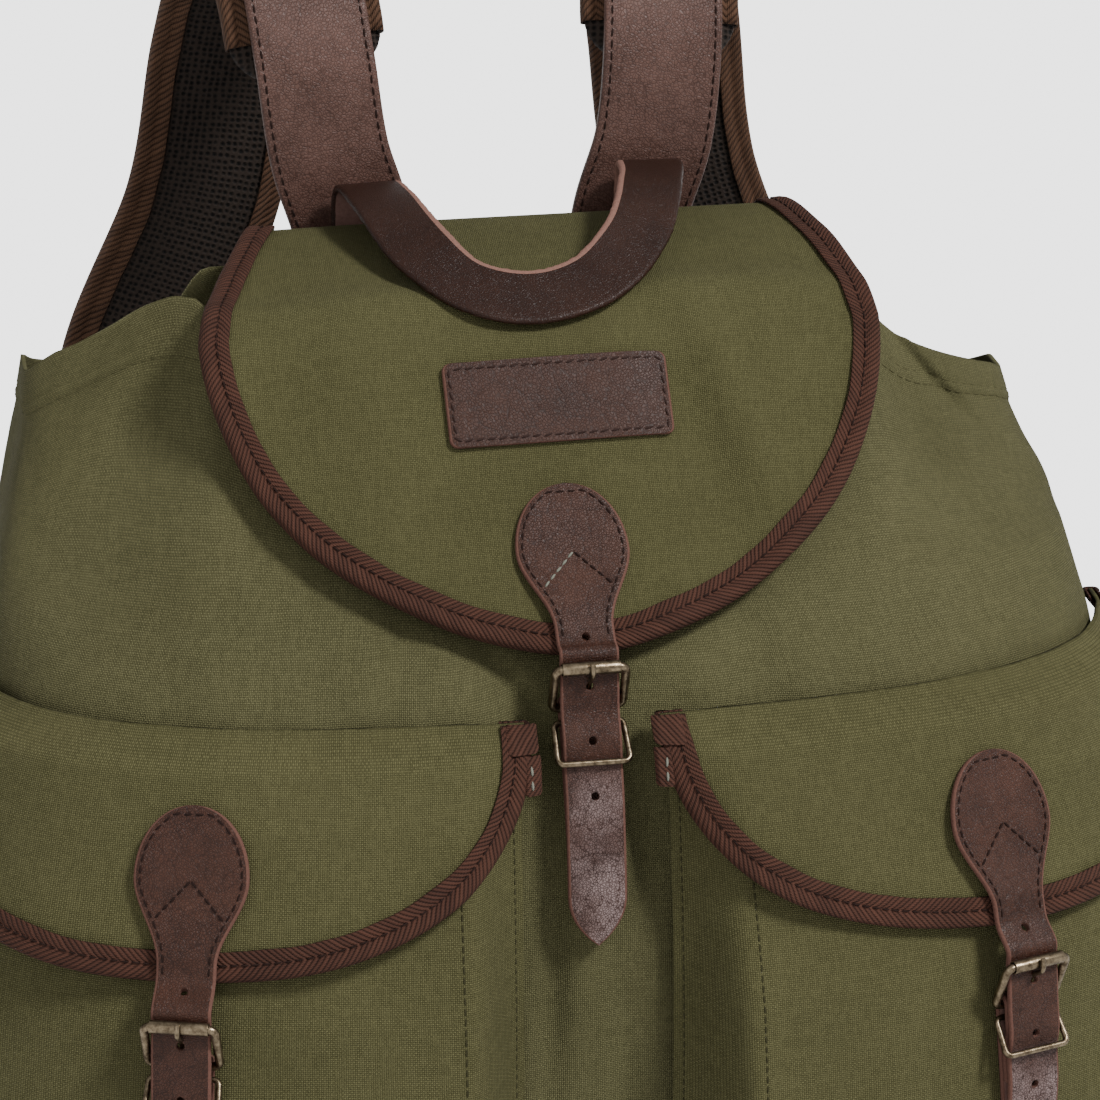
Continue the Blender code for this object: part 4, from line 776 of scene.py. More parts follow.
def stitches(name, lines, kind):
    """Thread lying in rows of stitches, one for each pitch along the lines of points and normals."""
    pitch, length, thickness, finish, slot, slant = STITCH_KINDS[kind]
    rng = np.random.default_rng(len(name))
    corners, faces = [], []
    shares = np.array([share for share, _ in STITCH_RINGS])
    sizes = np.array([size for _, size in STITCH_RINGS])
    turns = np.arange(STITCH_SIDES) * 2 * math.pi / STITCH_SIDES
    for points, normals in lines:
        run = np.concatenate([[0], np.cumsum(np.linalg.norm(np.diff(points, axis=0), axis=1))])
        count = max(int(run[-1] / pitch), 1)
        for step in range(count):
            middle = (step + 0.5) * run[-1] / count
            centre = np.array([np.interp(middle, run, points[:, axis]) for axis in range(3)])
            up = unit(np.array([np.interp(middle, run, normals[:, axis]) for axis in range(3)]))
            ends = [np.array([np.interp(place, run, points[:, axis]) for axis in range(3)])
                    for place in (middle - length / 2, middle + length / 2)]
            ahead = unit(ends[1] - ends[0])
            side = np.cross(up, ahead)
            turn = slant + rng.normal(0, 0.05)
            ahead = ahead * math.cos(turn) + side * math.sin(turn)
            side = np.cross(up, ahead)
            start = len(corners)
            for share, size in zip(shares, sizes):
                arch = thickness * (0.28 - 1.3 * share ** 2)
                middle_point = centre + ahead * share * length + up * arch
                for angle in turns:
                    spoke = side * math.cos(angle) + up * math.sin(angle)
                    corners.append(middle_point + spoke * size * thickness / 2)
            for ring_number in range(len(shares) - 1):
                for i in range(STITCH_SIDES):
                    j = (i + 1) % STITCH_SIDES
                    low, high = start + ring_number * STITCH_SIDES, start + (ring_number + 1) * STITCH_SIDES
                    faces.append((low + i, high + i, high + j, low + j))
            faces.append([start + i for i in range(STITCH_SIDES)])
            last = start + (len(shares) - 1) * STITCH_SIDES
            faces.append([last + i for i in reversed(range(STITCH_SIDES))])
    mesh = bpy.data.meshes.new(name)
    shifted = np.array(corners) - INTO_FRAME
    mesh.from_pydata(shifted.tolist(), [], faces)
    made = piece(name, mesh, slot)
    set_materials(made, finish)
    return made


def trace(place, route, off, samples):
    """Points and normals along a route of (across, along) corners on a surface."""
    route = np.array(route, float)
    run = np.concatenate([[0], np.cumsum(np.linalg.norm(np.diff(route, axis=0), axis=1))])
    even = np.linspace(0, run[-1], samples)
    across = np.interp(even, run, route[:, 0])
    along = np.interp(even, run, route[:, 1])
    points = place(across, along, np.full_like(across, off))
    above = place(across, along, np.full_like(across, off + 0.001))
    return points, unit(above - points)


# The body's skin


AROUND_STEPS = 200
HEIGHT_STEP = 0.001


def skin_table():
    """The right half of the skin: x, y and the level normal at each height and each place round it.

    Places run from 0, the front centre, past 1, the side, to 2, the back centre."""
    rows = smooth_rows(BODY_SECTIONS, 40)
    heights = np.arange(0.0, BODY_TOP + HEIGHT_STEP, HEIGHT_STEP)
    turn = np.linspace(0, math.pi / 2, 721)
    sine, cosine = np.sin(turn), np.cos(turn)
    cosine[-1] = sine[0] = 0.0
    narrow = 1 - smoothstep(cosine / PINCH_ENDS)
    shares = np.linspace(0, 1, AROUND_STEPS + 1)
    table = []
    for height in heights:
        _, half_width, side_y, front_y, back_y, squareness, pinch = [
            np.interp(height, rows[:, 0], rows[:, column]) for column in range(rows.shape[1])]
        front_x = half_width * sine ** (2 / squareness) * (1 - pinch * (1 - narrow))
        front = side_y + (front_y - side_y) * cosine ** (2 / squareness)
        back_x = half_width * cosine ** (2 / BACK_SQUARENESS)
        back = side_y + (back_y - side_y) * sine ** (2 / BACK_SQUARENESS)
        line = []
        for xs, ys, start in ((front_x, front, 0), (back_x, back, 1)):
            lengths = np.concatenate([[0], np.cumsum(np.hypot(np.diff(xs), np.diff(ys)))])
            evenly = shares[start:] * lengths[-1]
            line.append(np.stack([np.interp(evenly, lengths, xs), np.interp(evenly, lengths, ys)], -1))
        line = np.concatenate(line)
        mirror = np.array([-1, 1])
        padded = np.concatenate([line[2:0:-1] * mirror, line, line[-2:-4:-1] * mirror])
        run = unit(padded[4:] - padded[:-4])
        table.append(np.concatenate([line, np.stack([run[:, 1], -run[:, 0]], -1)], -1))
    return np.array(table)


SKIN = skin_table()
FRONT_ARC = float(np.linalg.norm(np.diff(SKIN[200, :AROUND_STEPS + 1, :2], axis=0), axis=1).sum())


def on_body(around, height, out):
    """Points on the body's skin, moved out along its level normal. Around is negative on the left."""
    around, height, out = np.broadcast_arrays(np.asarray(around, float), height, out)
    column = np.clip(np.abs(around), 0, 2) * AROUND_STEPS
    row = np.clip(height / HEIGHT_STEP, 0, len(SKIN) - 1)
    i = np.minimum(row.astype(int), len(SKIN) - 2)
    j = np.minimum(column.astype(int), 2 * AROUND_STEPS - 1)
    down, over = (row - i)[..., None], (column - j)[..., None]
    found = lerp(lerp(SKIN[i, j], SKIN[i, j + 1], over), lerp(SKIN[i + 1, j], SKIN[i + 1, j + 1], over), down)
    normal = unit(found[..., 2:])
    side = np.where(around < 0, -1.0, 1.0)
    x = side * (found[..., 0] + normal[..., 0] * out)
    return np.stack([x, found[..., 1] + normal[..., 1] * out, height], -1)


def fold_depth(x, height):
    """How far the folds push the front in at each place."""
    depth = np.zeros_like(x)
    for fold_x, fold_height, reach_x, reach_z, lean, full in BODY_FOLDS:
        turn = math.radians(lean)
        across = (x - fold_x) * math.cos(turn) - (height - fold_height) * math.sin(turn)
        along = (x - fold_x) * math.sin(turn) + (height - fold_height) * math.cos(turn)
        depth = depth + full * bump(across, 0, reach_x) * bump(along, 0, reach_z)
    return depth


def mouth_shift(x, y):
    """How much higher or lower the mouth's edge is at each place round it."""
    route = np.array(MOUTH_FRONT_EDGE)
    front = np.interp(x, route[:, 0], route[:, 1])
    outside = smoothstep((np.abs(x) - MOUTH_BACK_HALF_WIDTH) / MOUTH_BACK_REACH)
    rear = smoothstep((y - MOUTH_REAR[0]) / MOUTH_REAR[1])
    drop = MOUTH_BACK_DROP
    for depth, start, reach in MOUTH_RIGHT_REAR_DROPS:
        drop = drop + depth * smoothstep((x - start) / reach)
    return lerp(front, lerp(MOUTH_BACK_RISE, -drop, outside), rear)


def hem(height):
    """How far the mouth's turned hem stands out, with its row of stitches pulled in."""
    down = BODY_TOP - height
    stand = HEM_STAND * smoothstep((HEM_HEIGHT + 0.002 - down) / 0.002)
    return stand - 0.0007 * bump(down, HEM_HEIGHT, 0.0011) - 0.0005 * bump(down, HEM_HEIGHT - 0.004, 0.0008)


def body_surface(around, height, out=0.0):
    points = on_body(around, height, out)
    flat_x = points[..., 0]
    front = np.abs(np.broadcast_to(around, flat_x.shape)) < 1
    points[..., 1] += np.where(front, fold_depth(flat_x, points[..., 2]), 0)
    near_mouth = np.clip((points[..., 2] - BODY_TOP + MOUTH_LEVELLING_HEIGHT) / MOUTH_LEVELLING_HEIGHT, 0, None)
    points[..., 2] += near_mouth * mouth_shift(flat_x, points[..., 1])
    return points


def cloth_out(around, height):
    """How far the body's cloth stands off its plain skin: its hem and its crumples."""
    plain = on_body(around, height, 0.0)
    drift = rough(plain.reshape(-1, 3), 17.0).reshape(plain.shape[:-1])
    fine = rough(plain.reshape(-1, 3) * np.array([1, 1, 0.55]), 55.0, 4.0).reshape(plain.shape[:-1])
    crumple = -0.0026 * smoothstep(0.5 + 0.8 * drift) - 0.0009 * smoothstep(0.5 + 0.9 * fine)
    return hem(height) + crumple * smoothstep(height / 0.02)


def make_body():
    around = np.concatenate([np.linspace(-2, -1, 61)[:-1], np.linspace(-1, 1, 211), np.linspace(1, 2, 61)[1:]])
    heights = np.concatenate([np.linspace(0, 0.010, 5)[:-1], np.linspace(0.010, 0.325, 112)[:-1],
                              np.linspace(0.325, BODY_TOP, 26)])
    around_all, height_all = np.meshgrid(around, heights)
    points = body_surface(around_all, height_all, cloth_out(around_all, height_all))
    base = points[0]
    centre = base.mean(axis=0)
    inner = [centre + (base - centre) * share for share in (0.02, 0.25, 0.5, 0.75, 0.93, 0.985)]
    points = np.concatenate([np.array(inner), points])
    flat_u = np.broadcast_to(around * FRONT_ARC, points.shape[:2])
    heights_all = np.concatenate([[-0.10, -0.08, -0.055, -0.03, -0.01, -0.003], heights])
    flat = np.stack([flat_u, np.broadcast_to(heights_all[:, None], points.shape[:2])], -1)
    mesh = grid(points, flat, closed=(0,), end_kind=0, outward=False)
    made = piece("body_canvas", mesh, "canvas", ["bag_body"])
    set_materials(made, "body_canvas")
    wall = made.modifiers.new("wall", "SOLIDIFY")
    wall.thickness = CANVAS
    wall.offset = -1
    apply_modifiers(made)
    made.data.shade_smooth()
    return made


class Ribbon:
    """A strip's middle line, with the direction across it and the direction it faces."""

    def __init__(self, points, acrosses):
        self.points = np.array(points, float)
        self.lengths = np.concatenate([[0], np.cumsum(np.linalg.norm(np.diff(self.points, axis=0), axis=1))])
        ends = np.concatenate([self.points[:1], self.points, self.points[-1:]])
        tangents = unit(ends[2:] - ends[:-2])
        acrosses = np.array(acrosses, float)
        acrosses = acrosses - tangents * (acrosses * tangents).sum(-1, keepdims=True)
        self.acrosses = unit(acrosses)
        self.normals = unit(np.cross(tangents, self.acrosses))
        self.tangents = tangents

    def length(self):
        return self.lengths[-1]

    def at(self, along, rows):
        return np.stack([np.interp(along, self.lengths, rows[:, axis]) for axis in range(3)], -1)

    def place(self, across, along, off):
        across, along, off = np.broadcast_arrays(np.asarray(across, float), along, off)
        beyond = along - np.clip(along, 0, self.length())
        point = self.at(along, self.points) + self.at(along, self.tangents) * beyond[..., None]
        point = point + self.at(along, self.acrosses) * across[..., None]
        return point + self.at(along, self.normals) * off[..., None]


# Lid


LID_POINTS = np.array([(0, y, z) for y, z in smooth_rows(LID_PROFILE, 24)])
LID_RIBBON = Ribbon(LID_POINTS, np.tile((1, 0, 0), (len(LID_POINTS), 1)))
LID_LENGTH = LID_RIBBON.length()


def lid_half_width(along):
    """The lid's half width: rounded corners at its seam, widest over the top, round at its front."""
    from_widest = along - (LID_LENGTH - LID_WIDEST_FROM_EDGE)
    if from_widest < 0:
        share = min(-from_widest / LID_CORNER_LENGTH, 1.0)
        return lerp(LID_HALF_WIDTH, LID_ROOT_HALF_WIDTH, share ** LID_CORNER_FULLNESS)
    share = min(from_widest / LID_WIDEST_FROM_EDGE, 1.0)
    return LID_HALF_WIDTH * max(1 - share ** 2, 0.0) ** LID_ROUNDNESS


def lid_relief(across, along):
    """The lid's soft folds and waves: off the plain lid, which its binding and patch follow too."""
    from_edge = LID_LENGTH - along
    ridge = 0.0012 * bump(from_edge, 0.131, 0.007)
    ridge = ridge - 0.0015 * bump(from_edge, 0.118, 0.006) * bump(across, 0.0, 0.07)
    lean = across - 0.062 + (from_edge - 0.080) * 0.25
    fold = 0.0026 * bump(lean, 0, 0.009) * bump(from_edge, 0.086, 0.046)
    fold = fold - 0.0024 * bump(lean, -0.015, 0.011) * bump(from_edge, 0.086, 0.048)
    left = 0.0010 * bump(across + 0.080 - (from_edge - 0.08) * 0.4, 0, 0.008) * bump(from_edge, 0.085, 0.030)
    edge = 0.0012 * np.sin(across * 95 + 0.6) * smoothstep((np.abs(across) - 0.03) / 0.05)
    return ridge + fold + left + edge * smoothstep((along - 0.06) / 0.05)


def lid_place(across, along, off):
    across, along = np.asarray(across, float), np.asarray(along, float)
    droop_left = LID_DROOP_LEFT * smoothstep((along - 0.020) / 0.040)
    droop_right = LID_DROOP_RIGHT * smoothstep((along - 0.070) / 0.050)
    droop = np.where(across < 0, droop_left, droop_right) * (np.abs(across) / LID_HALF_WIDTH) ** 3
    skew = LID_SKEW * (1 - smoothstep(along / 0.130))
    return LID_RIBBON.place(across + skew, along, off - droop + lid_relief(across, along))


def edge_line(half_width, start, end, spacing):
    """Points evenly spaced down a sheet's right edge and up its left, with the way into the sheet at each."""
    fine = end - (end - start) * (1 - np.linspace(0, 1, 6001)) ** 2
    right = np.array([(half_width(along), along) for along in fine])
    line = np.concatenate([right, (right * (-1, 1))[::-1][1:]])
    run = np.concatenate([[0], np.cumsum(np.linalg.norm(np.diff(line, axis=0), axis=1))])
    even = np.linspace(0, run[-1], int(run[-1] / spacing) + 1)
    points = np.stack([np.interp(even, run, line[:, axis]) for axis in (0, 1)], -1)
    ends = np.concatenate([points[:1], points, points[-1:]])
    heading = unit(ends[2:] - ends[:-2])
    return points, np.stack([-heading[:, 1], heading[:, 0]], -1), even


def tape_profile(inner, tape, gap):
    """Tape folded over an edge, as (reach in, off): flat inner bands, a stitched groove and a rolled edge."""
    outer = inner + tape
    roll = 0.0004
    top = [(TAPE_REACH, inner + 0.0001), (TAPE_REACH, outer - 0.0002), (TAPE_REACH - 0.0006, outer),
           (TAPE_REACH * 0.66, outer + 0.0001), (TAPE_REACH * 0.52, outer - 0.0003),
           (TAPE_REACH * 0.42, outer - 0.0002), (TAPE_REACH * 0.28, outer + roll),
           (TAPE_REACH * 0.12, outer + roll * 1.2), (-gap * 0.5, outer + roll * 0.6),
           (-gap - tape * 0.7, outer * 0.62), (-gap - tape, 0.0)]
    bottom = [(reach, -off) for reach, off in reversed(top[:-1])]
    inside = [(TAPE_REACH * 0.5, -inner), (-gap * 0.6, -inner), (-gap * 0.6, inner), (TAPE_REACH * 0.5, inner)]
    return np.array(top + bottom + inside + [top[0]])


def bind_edge(name, half_width, start, end, place, thickness, gap, replaces, wave=0.0006, spacing=0.0022,
              slot="twill_tape", finish="tape"):
    """Tape sewn over a sheet's edge, a little wavy. Gives its row of stitches as points and normals."""
    points, inward, even = edge_line(half_width, start, end, spacing)
    profile = tape_profile(thickness / 2 + gap, TAPE, gap)
    waver = np.array([noise.noise(Vector((place_at * 45, 3.0, 1.0))) for place_at in even])
    pulled = np.array([noise.noise(Vector((place_at * 70, 9.0, 5.0))) for place_at in even])
    reach = profile[None, :, 0] + np.where(profile[None, :, 0] > 0.002, 0.0005 * pulled[:, None], 0)
    lift = 1 + 0.25 * wave / 0.0006 * waver[:, None] * (np.abs(profile[None, :, 1]) > thickness / 2 + gap + 0.0002)
    across = points[:, None, 0] + inward[:, None, 0] * reach
    along = points[:, None, 1] + inward[:, None, 1] * reach
    skin = place(across, along, profile[None, :, 1] * lift + wave * waver[:, None])
    around = np.concatenate([[0], np.cumsum(np.linalg.norm(np.diff(profile, axis=0), axis=1))])
    flat = np.stack(np.broadcast_arrays(even[:, None], around[None, :]), -1)
    made = piece(name, grid(skin, flat, closed=(0, -1), end_kind=0), slot, replaces)
    set_materials(made, finish)
    sewn = points + inward * (TAPE_REACH * 0.5)
    row_points = place(sewn[:, 0], sewn[:, 1], thickness / 2 + gap + TAPE - 0.0001 + wave * waver)
    above = place(sewn[:, 0], sewn[:, 1], thickness / 2 + 0.004)
    return row_points, unit(above - row_points)


def make_lid():
    near_tip = LID_LENGTH - 0.00002 - (LID_LENGTH - 0.17) * (1 - np.linspace(0, 1, 46)) ** 1.8
    alongs = np.concatenate([np.linspace(0, near_tip[0], 60)[:-1], near_tip])
    made = piece("lid_canvas", strip(lid_place, alongs, lid_half_width, LID_CANVAS, 91), "canvas", ["lid"])
    set_materials(made, "lid_canvas", "lid_canvas", "lid_canvas")
    row = bind_edge("lid_edge_tape", lid_half_width, 0.032, LID_LENGTH, lid_place, LID_CANVAS, LID_TAPE_GAP,
                    ["lid_binding"])
    stitches("lid_tape_stitches", [row], "tape")


def patch_place(across, along, off):
    cosine, sine = math.cos(PATCH_TURN), math.sin(PATCH_TURN)
    centre_along = LID_LENGTH - LID_WIDEST_FROM_EDGE + PATCH_CENTRE[1]
    lift = LID_CANVAS / 2 + GAP + PATCH_LEATHER / 2
    turned_across = np.asarray(across) * cosine - np.asarray(along) * sine + PATCH_CENTRE[0]
    turned_along = np.asarray(across) * sine + np.asarray(along) * cosine + centre_along
    return lid_place(turned_across, turned_along, off + lift)


def make_patch():
    width, height = PATCH_SIZE
    mesh = strip(patch_place, box_alongs(-height / 2, height / 2, PATCH_CORNER, 0.0015),
                 box_width(width, -height / 2, height / 2, PATCH_CORNER), PATCH_LEATHER, 40)
    made = piece("label_patch_leather", mesh, "leather", ["label_patch"])
    set_materials(made, "patch", "raw_edge", "flesh_side")
    inset = 0.0022
    x, z = width / 2 - inset, height / 2 - inset
    corner = 0.0012
    route = [(-x + corner, -z), (x - corner, -z), (x, -z + corner), (x, z - corner), (x - corner, z),
             (-x + corner, z), (-x, z - corner), (-x, -z + corner), (-x + corner, -z)]
    lines = [trace(patch_place, route, PATCH_LEATHER / 2, 400)]
    stitches("patch_stitches", lines, "patch")


# Straps and buckles


class Seat:
    """Where a buckle sits: a place on the bag, the way it faces, and the surface behind it."""

    def __init__(self, base, outward, surface, heel_height):
        self.base = np.array(base, float)
        self.outward = unit(np.array(outward, float))
        self.side = np.array([-self.outward[1], self.outward[0], 0])
        self.surface = surface
        self.heel_height = heel_height

    def world(self, across, out, height):
        return self.base + self.side * across + self.outward * out + np.array([0, 0, height])

    def out_of(self, point):
        return float((point - self.base) @ self.outward)

    def backing(self, height):
        """How far out the surface behind is at a height."""
        return self.out_of(self.surface(height))


def lid_seat():
    def surface(height):
        return body_surface(0.0, height)

    at_heel = surface(LID_HEEL_HEIGHT)
    return Seat((0, at_heel[1], 0), (0, -1, 0), surface, LID_HEEL_HEIGHT)


def pocket_around(side):
    return side * (POCKET_INNER_EDGE + POCKET_WIDTH / 2 - POCKET_STRAP_INWARD) / FRONT_ARC


def pocket_seat(side):
    around = pocket_around(side)

    def surface(height):
        return on_body(around, height, pocket_out(POCKET_WIDTH / 2, height) + CANVAS)

    at_heel = surface(POCKET_HEEL_HEIGHT)
    outward = on_body(around, POCKET_HEEL_HEIGHT, 1.0) - on_body(around, POCKET_HEEL_HEIGHT, 0.0)
    return Seat((at_heel[0], at_heel[1], 0), outward, surface, POCKET_HEEL_HEIGHT)


def seat_ribbon(seat, rows, per_span):
    rows = smooth_rows(rows, per_span) if per_span > 1 else rows
    points = np.array([seat.world(0, out, height) for out, height in rows])
    return Ribbon(points, np.tile(seat.side, (len(points), 1)))


def strap_rows(seat, over_lid):
    """The strap's middle line as out and height: over the lid or flap, behind the roller, and down."""
    heel = seat.heel_height
    rows = list(over_lid)
    rows += [
        (HEEL_OUT + 0.0034, heel + ROLLER_UP + 0.0045),
        (HEEL_OUT + 0.0036, heel + ROLLER_UP),
        (HEEL_OUT + 0.0046, heel + ROLLER_UP / 2),
        (HEEL_OUT + 0.0053, heel),
    ]
    return rows + tail_rows(seat)


def tail_rows(seat):
    heel = seat.heel_height
    return [(max(seat.backing(heel - down) + stand_off, HEEL_OUT + 0.0056), heel - down)
            for down, stand_off in STRAP_TAIL_ROWS]


def teardrop_half_width(length):
    """The half width along a strap that starts as a teardrop and ends in a rounded point."""

    def half_width(along):
        if along < TEARDROP_TIP_TO_WIDEST:
            turn = math.acos(max(1 - along / TEARDROP_TIP_TO_WIDEST, -1.0))
            return TEARDROP_WIDTH / 2 * math.sin(turn) ** 0.95
        if along < TEARDROP_LENGTH:
            share = (along - TEARDROP_TIP_TO_WIDEST) / (TEARDROP_LENGTH - TEARDROP_TIP_TO_WIDEST)
            return float(lerp(TEARDROP_WIDTH / 2, STRAP_WIDTH / 2, smoothstep(share)))
        into = min((length - along) / STRAP_POINT_LENGTH, 1.0)
        return STRAP_WIDTH / 2 * math.sin(math.pi / 2 * into ** STRAP_POINT_FULLNESS)

    return half_width


def punch(made, ribbon, alongs, diameter):
    """Cuts round holes through a strap on its middle line."""
    for along in alongs:
        centre = ribbon.place(0, along, 0) - INTO_FRAME
        facing = Vector(ribbon.at(along, ribbon.normals)).to_track_quat("Z", "Y").to_euler()
        bpy.ops.object.select_all(action="DESELECT")
        bpy.ops.mesh.primitive_cylinder_add(vertices=24, radius=diameter / 2, depth=0.008, location=centre,
                                            rotation=facing)
        cut_with(made, bpy.context.object, "hole")


CHEVRON = ((-0.0115, 0.0375), (0.0, 0.0245), (0.0115, 0.0375))
STITCH_INSET = 0.0023


def teardrop_stitches(ribbon, name):
    """The stitches round a teardrop, and its chevron, whose left arm is of paler thread on the lid."""
    half_width = teardrop_half_width(ribbon.length())
    alongs = np.linspace(0.0030, TEARDROP_LENGTH + 0.004, 60)
    right = []
    for along in alongs:
        slope = (half_width(along + 0.0005) - half_width(along - 0.0005)) / 0.001
        across = half_width(along) - STITCH_INSET / math.cos(math.atan(min(slope, 2.5)))
        right.append((max(across, 0.0003), along))
    route = [(-across, along) for across, along in reversed(right)] + right
    line = trace(ribbon.place, route, STRAP_LEATHER / 2, 500)
    stitches(name + "_edge_stitches", [line], "teardrop")
    for label, top, kind in (("left", CHEVRON[0], "pale_chevron" if "lid" in name else "chevron"),
                             ("right", CHEVRON[2], "chevron")):
        stitches(name + "_chevron_" + label, [trace(ribbon.place, [top, CHEVRON[1]], STRAP_LEATHER / 2, 40)], kind)


def make_strap(seat, over_lid, name, node):
    ribbon = seat_ribbon(seat, strap_rows(seat, over_lid), 10)
    length = ribbon.length()
    point_alongs = length - 0.00003 - STRAP_POINT_LENGTH * (1 - np.linspace(0, 1, 16)) ** 2
    alongs = np.concatenate([0.00003 + 0.020 * np.linspace(0, 1, 18) ** 2, np.arange(0.0212, point_alongs[0], 0.0012),
                             point_alongs])
    mesh = strip(ribbon.place, alongs, teardrop_half_width(length), STRAP_LEATHER, 13)
    made = piece(name, mesh, "leather", [node])
    set_materials(made, "leather", "raw_edge", "flesh_side")
    below = ribbon.points[:, 2] <= seat.heel_height + PRONG_CROSSING
    prong_along = float(ribbon.lengths[np.argmax(below)])
    punch(made, ribbon, [prong_along + step * STRAP_HOLE_PITCH for step in (-1, 0, 1, 2)], STRAP_HOLE)
    teardrop_stitches(ribbon, name)


def anchor_back(seat, down):
    """The middle of the anchor's inner layer at a distance below the heel bar."""
    lift = 0.0005 + ANCHOR_LEATHER / 2
    return max(seat.backing(seat.heel_height - down) + lift, HEEL_OUT - FOLD_RADIUS)


def make_anchor(seat, name, node):
    """The short strap sewn to the bag, up behind the heel bar, round it and down in front."""
    heel = seat.heel_height
    rows = [(anchor_back(seat, down), heel - down) for down in (ANCHOR_LENGTH, 0.028, 0.016, ANCHOR_NECK)]
    for step in range(13):
        turn = math.pi * step / 12
        rows.append((HEEL_OUT - FOLD_RADIUS * math.cos(turn), heel + FOLD_RADIUS * math.sin(turn)))
    layer = ANCHOR_LEATHER + GAP + 0.0002
    for down, apart in ((ANCHOR_NECK, ANCHOR_NECK_DEPTH), (0.016, layer), (0.0275, layer)):
        rows.append((anchor_back(seat, down) + apart, heel - down))
    ribbon = seat_ribbon(seat, rows, 1)
    end = ribbon.length()
    mesh = strip(ribbon.place, box_alongs(0, end, 0.002, 0.0008), box_width(ANCHOR_WIDTH, 0, end, 0.002),
                 ANCHOR_LEATHER, 15)
    made = piece(name, mesh, "leather", [node])
    set_materials(made, "leather", "raw_edge", "flesh_side")
    middle = seat.world(0, HEEL_OUT, heel) - INTO_FRAME
    bpy.ops.object.select_all(action="DESELECT")
    bpy.ops.mesh.primitive_cube_add(size=1, location=middle, scale=(ANCHOR_SLOT, 0.020, 0.011))
    cutter = bpy.context.object
    cutter.rotation_euler = (0, 0, math.atan2(seat.side[1], seat.side[0]))
    cut_with(made, cutter, "slot")


def ring_outline(top_width, bottom_width, height, corner):
    """A rounded frame as across and down, from a bar at 0 to a bar at its height."""
    outline = []
    corners = (
        (top_width / 2 - corner, corner, -90),
        (bottom_width / 2 - corner, height - corner, 0),
        (-bottom_width / 2 + corner, height - corner, 90),
        (-top_width / 2 + corner, corner, 180),
    )
    for across, down, first in corners:
        for step in range(RING_CORNER_STEPS + 1):
            turn = math.radians(first + 90 * step / RING_CORNER_STEPS)
            outline.append((across + corner * math.cos(turn), down + corner * math.sin(turn)))
    return outline


def make_buckle(seat, name):
    heel = seat.heel_height
    rise = math.hypot(ROLLER_FORWARD, ROLLER_UP)
    width = FRAME_WIDTH - FRAME_WIRE
    outline = []
    for across, down in ring_outline(width, width, rise, 0.0026):
        share = down / rise
        outline.append(seat.world(across, HEEL_OUT + ROLLER_FORWARD * share, heel + ROLLER_UP * share))
    wire(name + "_frame_wire", outline, FRAME_WIRE, "antique_brass", [name + "_frame"])
    make_roller(seat, name + "_roller")
    radius = (FRAME_WIRE + PRONG_WIRE) / 2 + GAP
    up = ((0.00275, 0.0030), (0.0027, 0.0066), (0.0036, 0.0092), (0.0062, 0.0116), (0.0098, 0.0137),
          (0.0107, 0.0161), (0.0101, 0.0183))
    curl = [(HEEL_OUT - radius * math.sin(math.radians(turn + 90)), heel + radius * math.cos(math.radians(turn + 90)))
            for turn in np.linspace(60, -150, 15)]
    rows = smooth_rows([(HEEL_OUT + out, heel + rise_up) for out, rise_up in up], 6)
    rows = curl + [tuple(row) for row in rows]
    wire(name + "_prong_wire", [seat.world(0, out, height) for out, height in rows], PRONG_WIRE, "antique_brass",
         [name + "_prong"], cyclic=False)


def make_roller(seat, name):
    """A short tube on the buckle's top bar."""
    middle = seat.world(0, HEEL_OUT + ROLLER_FORWARD, seat.heel_height + ROLLER_UP) - INTO_FRAME
    facing = Vector(seat.side).to_track_quat("Z", "Y").to_euler()
    bpy.ops.object.select_all(action="DESELECT")
    bpy.ops.mesh.primitive_cylinder_add(vertices=40, radius=ROLLER_DIAMETER / 2, depth=ROLLER_LENGTH,
                                        end_fill_type="NOTHING", location=middle, rotation=facing)
    made = bpy.context.object
    made.name = name + "_tube"
    bpy.ops.object.transform_apply(location=True, rotation=True, scale=True)
    wall = made.modifiers.new("wall", "SOLIDIFY")
    wall.thickness = (ROLLER_DIAMETER - ROLLER_BORE) / 2
    wall.offset = -1
    rims = made.modifiers.new("rims", "BEVEL")
    rims.width = 0.00015
    rims.segments = 2
    apply_modifiers(made)
    made.data.shade_smooth()
    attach(made, "root")
    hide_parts(name)
    set_materials(made, "brass")


def make_keeper(seat, name, node):
    """The wire keeper: its back bar in the anchor's fold, its front bar over the strap."""
    neck = anchor_back(seat, ANCHOR_NECK) + ANCHOR_NECK_DEPTH / 2
    back_out = lerp(HEEL_OUT, neck, KEEPER_DOWN / ANCHOR_NECK)
    back_height = seat.heel_height - KEEPER_DOWN
    front_height = back_height - KEEPER_DROP
    tail = tail_rows(seat)
    strap_out = float(np.interp(-front_height, [-row[1] for row in tail], [row[0] for row in tail]))
    front_out = strap_out + STRAP_LEATHER / 2 + GAP + KEEPER_WIRE / 2 + 0.0004
    length = math.hypot(front_out - back_out, KEEPER_DROP)
    width = KEEPER_WIDTH - KEEPER_WIRE
    points = []
    for across, down in ring_outline(width - 0.001, width, length, 0.0022):
        share = down / length
        points.append(seat.world(across, lerp(back_out, front_out, share), back_height - KEEPER_DROP * share))
    wire(name, points, KEEPER_WIRE, "antique_brass", [node])


def fasten(seat, over_lid, prefix):
    make_strap(seat, over_lid, prefix + "_strap_leather", prefix + "_strap")
    make_anchor(seat, prefix + "_anchor_leather", prefix + "_anchor_strap")
    make_buckle(seat, prefix + "_buckle")
    make_keeper(seat, prefix + "_keeper_wire", prefix + "_keeper_ring")


